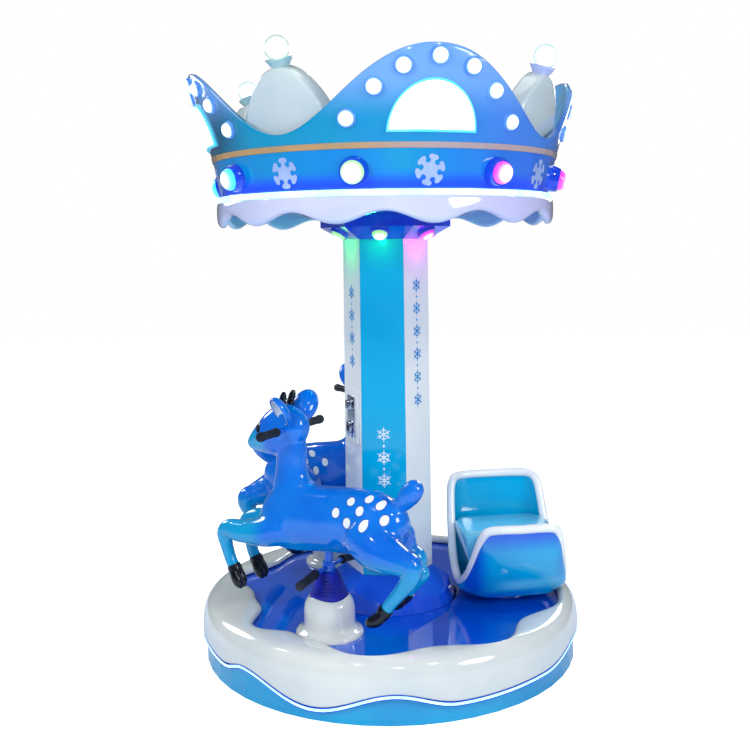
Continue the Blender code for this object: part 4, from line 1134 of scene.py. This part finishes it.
# Half of the tub's edge, from the middle of the front to the middle of the back: forward, left, up
SLEIGH_EDGE = [(0.262, 0.0, 0.534), (0.258, 0.115, 0.534), (0.247, 0.156, 0.512), (0.214, 0.180, 0.430),
               (0.168, 0.204, 0.335), (0.098, 0.222, 0.286), (0.02, 0.226, 0.302), (-0.06, 0.222, 0.36),
               (-0.118, 0.214, 0.46), (-0.162, 0.206, 0.575), (-0.190, 0.190, 0.638), (-0.222, 0.140, 0.652),
               (-0.235, 0.0, 0.652)]


def seat_place(bearing):
    """A seat's place: its x axis heads clockwise seen from above, its y axis is its left."""
    spot = Matrix.Translation(round_the_axis(SEAT_RADIUS, bearing))
    return spot @ Matrix.Rotation(math.radians(180 + bearing), 4, "Z")


def inset_loop(loop, inset):
    return [point - Vector((point.x, point.y, 0)).normalized() * inset for point in loop]


def foot_loop(loop, height, half):
    """The tub's small rounded bottom, a corner under each corner of its edge."""
    corners = []
    for point in loop:
        angle = math.atan2(point.y, point.x)
        reach = [half * math.copysign(abs(part) ** FOOT_SQUARENESS, part)
                 for part in (math.cos(angle), math.sin(angle))]
        corners.append(Vector((*reach, height)))
    return corners


def between(low, high, share, swell):
    """A loop between two others, swollen outwards."""
    loop = []
    for first, last in zip(low, high):
        point = first.lerp(last, share)
        loop.append(point + Vector((point.x, point.y, 0)).normalized() * swell * 4 * share * (1 - share))
    return loop


def tube(name, stations, closed=False, sides=16, smooth=6):
    """A round tube, from a curve through stations that each give a place and a thickness."""
    choose()
    bpy.ops.curve.primitive_bezier_curve_add(location=(0, 0, 0))
    piece = start(name)
    line = smooth_line(stations, smooth, closed)
    piece.data.splines.clear()
    spline = piece.data.splines.new("POLY")
    spline.points.add(len(line) - 1)
    for corner, point in zip(spline.points, line):
        corner.co = (*point[:3], 1.0)
        corner.radius = point[3]
    spline.use_cyclic_u = closed
    piece.data.dimensions = "3D"
    piece.data.bevel_depth = 1.0
    piece.data.bevel_resolution = (sides - 4) // 2
    piece.data.use_fill_caps = not closed
    choose(piece)
    bpy.ops.object.convert(target="MESH")
    outward(piece)
    return piece


def tub_gel():
    """Cyan gel coat; the front panel goes over to deep blue at its edges, which is painted shade, and to pale
    blue low down, which is a painted highlight.
    """
    material = gloss_paint("sleigh_gel_coat", (0, 172, 224), (0, 158, 216), patch=2.0, coat=1.0)
    nodes, links, shader, colour = colour_of(material)
    split = split_place(nodes, links)

    def share(axis, first, last):
        return value_of(nodes, links, split[axis], first, last, 0, 1, True)

    # Painted shade darkens the front panel's edges, and a painted highlight lies low down on it.
    front = share("Y", -0.13, -0.20)
    painted_shade_edges = combine(nodes, links, "MAXIMUM", share("X", 0.42, 0.34), share("X", 0.66, 0.74),
                   share("Z", 0.42, 0.52), share("Z", 0.272, 0.245))
    painted_highlight_patch = combine(nodes, links, "MULTIPLY", share("X", 0.40, 0.52), share("Z", 0.262, 0.285),
                   share("Z", 0.33, 0.295))
    colour = mixed(nodes, links, combine(nodes, links, "MULTIPLY", front, painted_shade_edges), colour, (0, 88, 214))
    colour = mixed(nodes, links, combine(nodes, links, "MULTIPLY", front, painted_highlight_patch), colour, (96, 196, 238))
    links.new(colour, shader.inputs["Base Color"])
    return material


tub_paint = tub_gel()
bench_paint = gloss_paint("bench_gel_coat", (120, 214, 246), (100, 204, 242), coat=1.0)
sleigh_place = (Matrix.Translation(round_the_axis(0.006, SLEIGH_BEARING)) @ seat_place(SLEIGH_BEARING)
                @ Matrix.Rotation(math.radians(SLEIGH_TURN), 4, "Z"))
half_edge = smooth_line(SLEIGH_EDGE, 4)
edge = half_edge + [Vector((point.x, -point.y, point.z)) for point in reversed(half_edge[1:-1])]
inner_edge = inset_loop(edge, SLEIGH_SHELL)
foot = foot_loop(edge, SLEIGH_FLOOR, FOOT_HALF)
inner_foot = foot_loop(edge, SLEIGH_FLOOR + SLEIGH_SHELL, FOOT_HALF - SLEIGH_SHELL)
shares = (0.0, 0.04, 0.15, 0.3, 0.45, 0.6, 0.75, 0.9, 1.0)
loops = [between(foot, edge, share, SLEIGH_SWELL) for share in shares]
loops += [between(inner_foot, inner_edge, share, SLEIGH_SWELL) for share in reversed(shares)]
tub = skinned("sleigh_shell", loops)
modify(tub, "BEVEL", width=0.006, segments=3, limit_method="ANGLE", angle_limit=math.radians(40))
keep(tub, "platform", tub_paint, ("sleigh_tub",), angle=60, place=sleigh_place)

rim_line = [(*point, SLEIGH_RIM) for point in inset_loop(edge, SLEIGH_SHELL / 2)[::2]]
rim = tube("sleigh_rim_tube", rim_line, closed=True, sides=20, smooth=3)
rim_paint = gloss_paint("sleigh_rim_gel_coat", (244, 247, 247), (230, 236, 240), patch=6.0)
keep(rim, "platform", rim_paint, ("sleigh_rim",), angle=60, place=sleigh_place)


def bench_loop(front, side, rear, rear_side, height):
    shoulder = -0.6 * rear
    return [Vector((*corner, height)) for corner in
            ((front, -side), (front, side), (shoulder, side), (-rear, rear_side), (-rear, -rear_side),
             (shoulder, -side))]


bench = skinned("bench_moulding", [bench_loop(0.095, 0.115, 0.07, 0.10, 0.2513),
                                   bench_loop(0.11, 0.178, 0.11, 0.13, 0.34),
                                   bench_loop(0.125, 0.200, 0.165, 0.155, 0.482)])
modify(bench, "BEVEL", width=0.012, segments=4, limit_method="ANGLE", angle_limit=math.radians(30))
keep(bench, "platform", bench_paint, ("sleigh_bench",), angle=50, place=sleigh_place)
paint_solid("sleigh_pedestal", floor_gel)


# Deer: hollow glass-fibre shells in glossy blue, going over to teal on the legs, belly and muzzle, with
# white spots on the back, black hooves and horns, and rubber grips on the bars through head and pole.
TRUNK = [(-0.340, 0.655, 0.026, 0.026), (-0.307, 0.652, 0.074, 0.068), (-0.22, 0.649, 0.121, 0.097),
         (-0.10, 0.648, 0.126, 0.101), (0.02, 0.641, 0.126, 0.101), (0.13, 0.634, 0.131, 0.100),
         (0.21, 0.630, 0.122, 0.088), (0.265, 0.622, 0.087, 0.064), (0.30, 0.612, 0.030, 0.026)]
NECK = [(0.66, 0.172, 0.088, 0.074), (0.74, 0.166, 0.076, 0.061), (0.82, 0.162, 0.066, 0.052),
        (0.89, 0.160, 0.064, 0.050), (0.96, 0.166, 0.064, 0.052)]
HEAD = [(0.088, 0.984, 0.022, 0.02), (0.105, 0.982, 0.055, 0.042), (0.15, 0.977, 0.088, 0.060),
        (0.205, 0.968, 0.100, 0.066), (0.26, 0.953, 0.086, 0.059), (0.305, 0.933, 0.058, 0.045),
        (0.338, 0.915, 0.036, 0.033), (0.359, 0.906, 0.013, 0.015)]
# The withers, which run up from the back into the neck: forward, left, up and thickness
WITHERS = [(-0.06, 0.0, 0.690, 0.066), (0.02, 0.0, 0.695, 0.064), (0.08, 0.0, 0.715, 0.060),
           (0.125, 0.0, 0.755, 0.052), (0.145, 0.0, 0.810, 0.045)]
# Hooves: how far the right one is shifted forward and down, ankle, heel and toe seen from the left, radii
HOOVES = [("front", (0.025, 0.02), ((0.383, 0.436), (0.362, 0.396), (0.338, 0.352)),
           [0.0165, 0.0205, 0.0185, 0.0060]),
          ("hind", (0.005, -0.004), ((-0.298, 0.375), (-0.268, 0.334), (-0.222, 0.309)),
           [0.0165, 0.0225, 0.0225, 0.0130])]
# Legs down the left side: forward, left, up and thickness
FRONT_LEG = [(0.17, 0.045, 0.600, 0.072), (0.25, 0.072, 0.577, 0.058), (0.34, 0.085, 0.573, 0.045),
             (0.398, 0.090, 0.578, 0.037), (0.422, 0.090, 0.554, 0.031), (0.412, 0.090, 0.508, 0.0255),
             (0.395, 0.090, 0.458, 0.0235), (0.380, 0.090, 0.430, 0.0240)]
HIND_LEG = [(-0.17, 0.045, 0.630, 0.087), (-0.25, 0.070, 0.581, 0.083), (-0.34, 0.084, 0.556, 0.059),
            (-0.393, 0.090, 0.545, 0.043), (-0.394, 0.090, 0.503, 0.035), (-0.358, 0.090, 0.45, 0.0275),
            (-0.316, 0.090, 0.40, 0.0238), (-0.291, 0.090, 0.366, 0.0234)]
HOCK_SHIFT = (0.068, -0.032)
TAIL = [(-0.262, 0, 0.684, 0.034), (-0.292, 0, 0.712, 0.026), (-0.325, 0, 0.744, 0.034),
        (-0.352, 0, 0.777, 0.0405), (-0.378, 0, 0.806, 0.0330), (-0.390, 0, 0.818, 0.0150)]
# The left horn, and the places of its ribs as shares of its length
HORN = [(0.184, 0.025, 1.050, 0.0135), (0.181, 0.028, 1.070, 0.0145), (0.177, 0.030, 1.088, 0.0135),
        (0.172, 0.032, 1.105, 0.0125), (0.168, 0.034, 1.119, 0.0070)]
HORN_RIBS = (0.25, 0.45, 0.65)
POLE_OUTLINE = [(0.0, 0.270), (0.0145, 0.270), (0.016, 0.2715), (0.016, 0.5748), (0.0, 0.5748)]
HUB_OUTLINE = [(0.016, 0.436), (0.0235, 0.438), (0.0250, 0.444), (0.0250, 0.472), (0.0235, 0.478),
               (0.016, 0.480)]
HANDLE_PLACE = (0.152, 0.980)
HANDLE_HALF = 0.225
COLUMN_SIDE_HALF = 0.205
FOOT_BAR_HEIGHT = 0.458
FOOT_BAR_HALF = 0.21
FOOT_DROOP = 0.015
GRIP_LENGTH = 0.12
# The spots: forward and up, seen from the side, where the back's curve makes the high ones look flatter
SPOTS = [(-0.089, 0.698), (-0.141, 0.740), (-0.208, 0.752), (-0.256, 0.735), (-0.186, 0.714), (-0.140, 0.668),
         (-0.216, 0.670), (-0.281, 0.688)]
SPOT_HALF = (0.0150, 0.0185)
BACK_MIDDLE = 0.645
BACK_HEIGHT = 0.130
EYE = (0.286, 0.982)
EYE_HALF = (0.015, 0.026)
EYE_TILT = 20


def loft(name, stations, level=False, sides=28):
    """A loft through ellipses that stand across the deer, or that lie level for the neck."""
    turns = [math.tau * side / sides for side in range(sides)]
    loops = []
    for along, middle, half, half_width in smooth_line(stations, 4):
        if level:
            loops.append([(middle + half * math.cos(turn), half_width * math.sin(turn), along)
                          for turn in turns])
        else:
            loops.append([(along, half_width * math.cos(turn), middle + half * math.sin(turn))
                          for turn in turns])
    return skinned(name, loops)


def front_leg(side):
    """A front leg's stations; the right one reaches a little further forward."""
    if side > 0:
        return FRONT_LEG
    return [(x + 0.025 * (z < 0.56), -y, z - 0.02 * (z < 0.47), thick) for x, y, z, thick in FRONT_LEG]


def hind_leg(side):
    """A hind leg's stations; the right hock is further forward and lower."""
    if side > 0:
        return HIND_LEG
    forward, up = HOCK_SHIFT
    return [(x + forward, -y, z + up, thick) if x < -0.3 and z > 0.5 else (x + 0.005, -y, z + 0.004, thick)
            for x, y, z, thick in HIND_LEG]


def ball_at(name, place, segments=24, rings=14):
    """A unit ball put, turned and stretched to its place."""
    choose()
    bpy.ops.mesh.primitive_uv_sphere_add(segments=segments, ring_count=rings, radius=1.0)
    piece = start(name)
    piece.matrix_world = place
    settle(piece)
    return piece


def leaf_place(root, tip, half_width, half_thickness, facing):
    """The place of a unit ball that becomes a leaf from root to tip, its broad side along facing."""
    root, tip = Vector(root), Vector(tip)
    along = (tip - root).normalized()
    out = (Vector(facing) - along * along.dot(Vector(facing))).normalized()
    across = along.cross(out)
    turn = Matrix((across, out, along)).transposed().to_4x4()
    size = Matrix.Diagonal((half_width, half_thickness, (tip - root).length / 2, 1))
    return Matrix.Translation((root + tip) / 2) @ turn @ size


def deer_paint(which):
    """Blue gel coat with teal on legs, belly and muzzle, the white spots and the black eyes, all on the
    deer's own axes."""
    material = gloss_paint(f"deer_gel_coat_{which}", (0, 118, 222), (0, 100, 214), patch=3.0,
                           coat=0.7)
    nodes, links, shader, colour = colour_of(material)
    place = nodes.new("ShaderNodeTexCoord")
    own = nodes.new("ShaderNodeMapping")
    own.vector_type = "TEXTURE"
    own.inputs["Location"].default_value = round_the_axis(SEAT_RADIUS, DEER_BEARINGS[which])
    own.inputs["Rotation"].default_value = (0, 0, math.radians(180 + DEER_BEARINGS[which]))
    links.new(place.outputs["Object"], own.inputs["Vector"])
    split = split_place(nodes, links, own.outputs["Vector"])

    def reach_from(point, size, tilt=0):
        """How far from a point in side view, in units of a size, on axes that may be tilted."""
        moved = nodes.new("ShaderNodeMapping")
        moved.vector_type = "TEXTURE"
        moved.inputs["Location"].default_value = (point[0], 0, point[1])
        moved.inputs["Rotation"].default_value = (0, math.radians(tilt), 0)
        moved.inputs["Scale"].default_value = (size[0], 1000, size[1])
        links.new(own.outputs["Vector"], moved.inputs["Vector"])
        far = nodes.new("ShaderNodeVectorMath")
        far.operation = "LENGTH"
        links.new(moved.outputs["Vector"], far.inputs[0])
        return far.outputs["Value"]

    low = value_of(nodes, links, split["Z"], 0.500, 0.590, 1, 0, True)
    fore = combine(nodes, links, "MULTIPLY", value_of(nodes, links, split["X"], 0.20, 0.29, 0, 1, True),
                   value_of(nodes, links, split["Z"], 0.63, 0.68, 1, 0, True))
    muzzle = value_of(nodes, links, reach_from((0.335, 0.905), (0.085, 0.075)), 0.6, 1.25, 1, 0, True)
    teal = combine(nodes, links, "MAXIMUM", low, fore, muzzle)
    colour = mixed(nodes, links, teal, colour, (0, 152, 208))
    reaches = []
    for spot in SPOTS:
        flat = math.sqrt(1 - ((spot[1] - BACK_MIDDLE) / BACK_HEIGHT) ** 2)
        reaches.append(reach_from(spot, (SPOT_HALF[0], SPOT_HALF[1] * flat)))
    nearest = combine(nodes, links, "MINIMUM", *reaches)
    colour = mixed(nodes, links, value_of(nodes, links, nearest, 1.12, 1.22, 1, 0), colour, (10, 60, 170))
    colour = mixed(nodes, links, value_of(nodes, links, nearest, 0.98, 1.06, 1, 0), colour, (236, 240, 242))
    eye = reach_from(EYE, EYE_HALF, EYE_TILT)
    colour = mixed(nodes, links, value_of(nodes, links, eye, 0.97, 1.05, 1, 0), colour, (8, 12, 26))
    gleam = reach_from((EYE[0] - 0.004, EYE[1] + 0.010), (0.0045, 0.0060))
    colour = mixed(nodes, links, value_of(nodes, links, gleam, 0.9, 1.1, 1, 0), colour, (240, 248, 255))
    links.new(colour, shader.inputs["Base Color"])
    return material


black_gloss = gloss_paint("hoof_black_gel_coat", (4, 6, 14), (10, 14, 26), patch=30.0,
                          rough=(0.2, 0.34), coat=0.2)
grip_rubber = gloss_paint("grip_rubber", (14, 18, 28), (24, 28, 40), patch=40.0,
                          rough=(0.45, 0.65), coat=0.0)
ear_white = gloss_paint("ear_white_gel_coat", (222, 232, 240), (190, 206, 226), patch=20.0)
bar_blue = gloss_paint("bar_blue_paint", (10, 104, 220), (0, 82, 200), patch=12.0,
                       rough=(0.15, 0.3))


def grip_sleeve(name, inner_end, outer_end):
    """A rubber grip on one end of a bar: fat rounded end, waist with fine rings, and a fat inner collar."""
    inner_end, outer_end = Vector(inner_end), Vector(outer_end)
    long = (outer_end - inner_end).length
    outline = [(0.0, 0.0), (0.0120, 0.0), (0.0172, 0.004), (0.0180, 0.011), (0.0174, 0.018), (0.0158, 0.024)]
    for ring in range(9):
        level = 0.026 + ring * (long - 0.058) / 9
        outline += [(0.0158, level), (0.0158, level + 0.0046), (0.0149, level + 0.0052),
                    (0.0149, level + 0.0060)]
    outline += [(0.0158, long - 0.030), (0.0172, long - 0.024), (0.0180, long - 0.016),
                (0.0178, long - 0.008), (0.0160, long - 0.002), (0.0100, long), (0.0, long)]
    piece = turned(name, outline, 24)
    piece.matrix_world = stood(inner_end, outer_end - inner_end)
    return piece


def hoof(name, ankle, sole, toe, radii, spread=0.0135):
    """A cloven hoof: two black toes side by side under a short cuff. The ankle and the sole's heel give
    its slope, and the toe its end; the radii are those of each toe."""
    ankle, sole, toe = Vector(ankle), Vector(sole), Vector(toe)
    cuff = [(*ankle, 0.0262), (*ankle.lerp(sole, 0.5), 0.0275), (*sole, 0.0215)]
    parts = [tube(f"{name}_cuff", cuff, sides=14, smooth=3)]
    for side in (-1, 1):
        aside = Vector((0, side * spread, 0))
        path = [ankle.lerp(sole, 0.3) + aside * 0.7, sole + aside, sole.lerp(toe, 0.55) + aside,
                toe + aside * 0.75]
        path = [(*point, radius) for point, radius in zip(path, radii)]
        parts.append(tube(f"{name}_toe", path, sides=14, smooth=4))
    return joined_as(name, *parts)


def ear_cup(name, side, grow, lift, thickness):
    """Half of a hollow leaf, open towards its facing side."""
    cup = ball_at(name, Matrix.Identity(4), 40, 20)
    edit(cup)
    bpy.ops.mesh.bisect(plane_co=(0, 0.18, 0), plane_no=(0, 1, 0), clear_outer=True)
    leave()
    root = Vector((0.158, side * 0.044, 0.998))
    tip = Vector((0.146, side * 0.128, 1.104))
    facing = Vector((0.13, side * 1.0, 0.55))
    middle = (root + tip) / 2
    leaf = leaf_place(middle + (root - middle) * grow, middle + (tip - middle) * grow, 0.047 * grow,
                      0.030 * grow, facing)
    cup.matrix_world = Matrix.Translation(facing.normalized() * lift) @ leaf
    settle(cup)
    modify(cup, "SOLIDIFY", thickness=thickness, offset=-1.0)
    return cup


for which, seat in DEER_BEARINGS.items():
    body = f"deer_{which}"
    place = seat_place(seat)
    forms = [loft("trunk_form", TRUNK), loft("neck_form", NECK, level=True), tube("withers_form", WITHERS)]
    for side in (1, -1):
        forms.append(tube("shoulder_form", front_leg(side)[:3]))
        forms.append(tube("thigh_form", hind_leg(side)[:4]))
    shell = joined_as(f"deer_shell_{which}", *forms)
    modify(shell, "REMESH", mode="VOXEL", voxel_size=0.0075)
    modify(shell, "SMOOTH", factor=0.5, iterations=26)
    legs = []
    for side in (1, -1):
        for line, count in ((front_leg(side), 2), (hind_leg(side), 3)):
            slimmer = [(*point, thick * 0.8) for *point, thick in line[:count]]
            legs.append(tube("leg_form", slimmer + line[count:]))
    head = loft("head_form", HEAD)
    shell = joined_as(f"deer_shell_{which}", shell, *legs, head, tube("tail_form", TAIL))
    modify(shell, "REMESH", mode="VOXEL", voxel_size=0.0046)
    modify(shell, "SMOOTH", factor=0.5, iterations=8)
    blue_gel = deer_paint(which)
    keep(shell, body, blue_gel, (f"deer_{which}_body",), angle=80, place=place)

    hooves = []
    for side in (1, -1):
        for label, shift, line, radii in HOOVES:
            ahead, down = (0.0, 0.0) if side > 0 else shift
            hooves.append(hoof(f"{label}_hoof_{side}",
                               *[(x + ahead, side * 0.09, height - down) for x, height in line], radii))
    for side in (1, -1):
        horn = [(x, side * y, z, thick) for x, y, z, thick in HORN]
        hooves.append(tube("horn_form", horn, sides=14))
        root, tip = Vector(horn[0][:3]), Vector(horn[-1][:3])
        for share in HORN_RIBS:
            hooves.append(ball_at("horn_rib", stood(root.lerp(tip, share), tip - root)
                                  @ Matrix.Diagonal((0.0158, 0.0158, 0.0045, 1)), 16, 8))
    dark = joined_as(f"deer_hooves_{which}", *hooves)
    keep(dark, body, black_gloss, angle=60, place=place)

    cups = [ear_cup("ear_back", side, 1.0, 0.0, 0.0035) for side in (1, -1)]
    ears = joined_as(f"deer_ears_{which}", *cups)
    keep(ears, body, blue_gel, angle=50, place=place)
    cups = [ear_cup("ear_inner", side, 0.88, 0.0006, 0.0010) for side in (1, -1)]
    ears = joined_as(f"deer_ear_whites_{which}", *cups)
    keep(ears, body, ear_white, angle=60, place=place)

    forward, height = HANDLE_PLACE
    grips = []
    for side in (1, -1):
        half = HANDLE_HALF if side > 0 else COLUMN_SIDE_HALF
        grips.append(grip_sleeve(f"hand_grip_{side}", (forward, side * (half - GRIP_LENGTH), height),
                                 (forward, side * half, height)))
        grips.append(grip_sleeve(f"foot_grip_{side}",
                                 (0, side * (FOOT_BAR_HALF - GRIP_LENGTH), FOOT_BAR_HEIGHT),
                                 (0, side * FOOT_BAR_HALF, FOOT_BAR_HEIGHT - FOOT_DROOP)))
    rubber = joined_as(f"deer_grips_{which}", *grips)
    keep(rubber, body, grip_rubber, (f"deer_{which}_handles",), angle=50, place=place)

    pole = turned("pole_form", POLE_OUTLINE, 28)
    hub = turned("pole_hub", HUB_OUTLINE, 28)
    bars = []
    for label, half, ahead, level in (("foot", 0.125, 0, FOOT_BAR_HEIGHT), ("hand", 0.150, forward, height)):
        bar = turned(f"{label}_bar_form", [(0.0, -half), (0.009, -half), (0.009, half), (0.0, half)], 20)
        bar.matrix_world = (Matrix.Translation((ahead, 0, level))
                            @ Matrix.Rotation(math.radians(90), 4, "X"))
        bars.append(bar)
    steel = joined_as(f"deer_bars_{which}", pole, hub, *bars)
    keep(steel, body, bar_blue, (f"deer_{which}_stand",), angle=40, place=place)
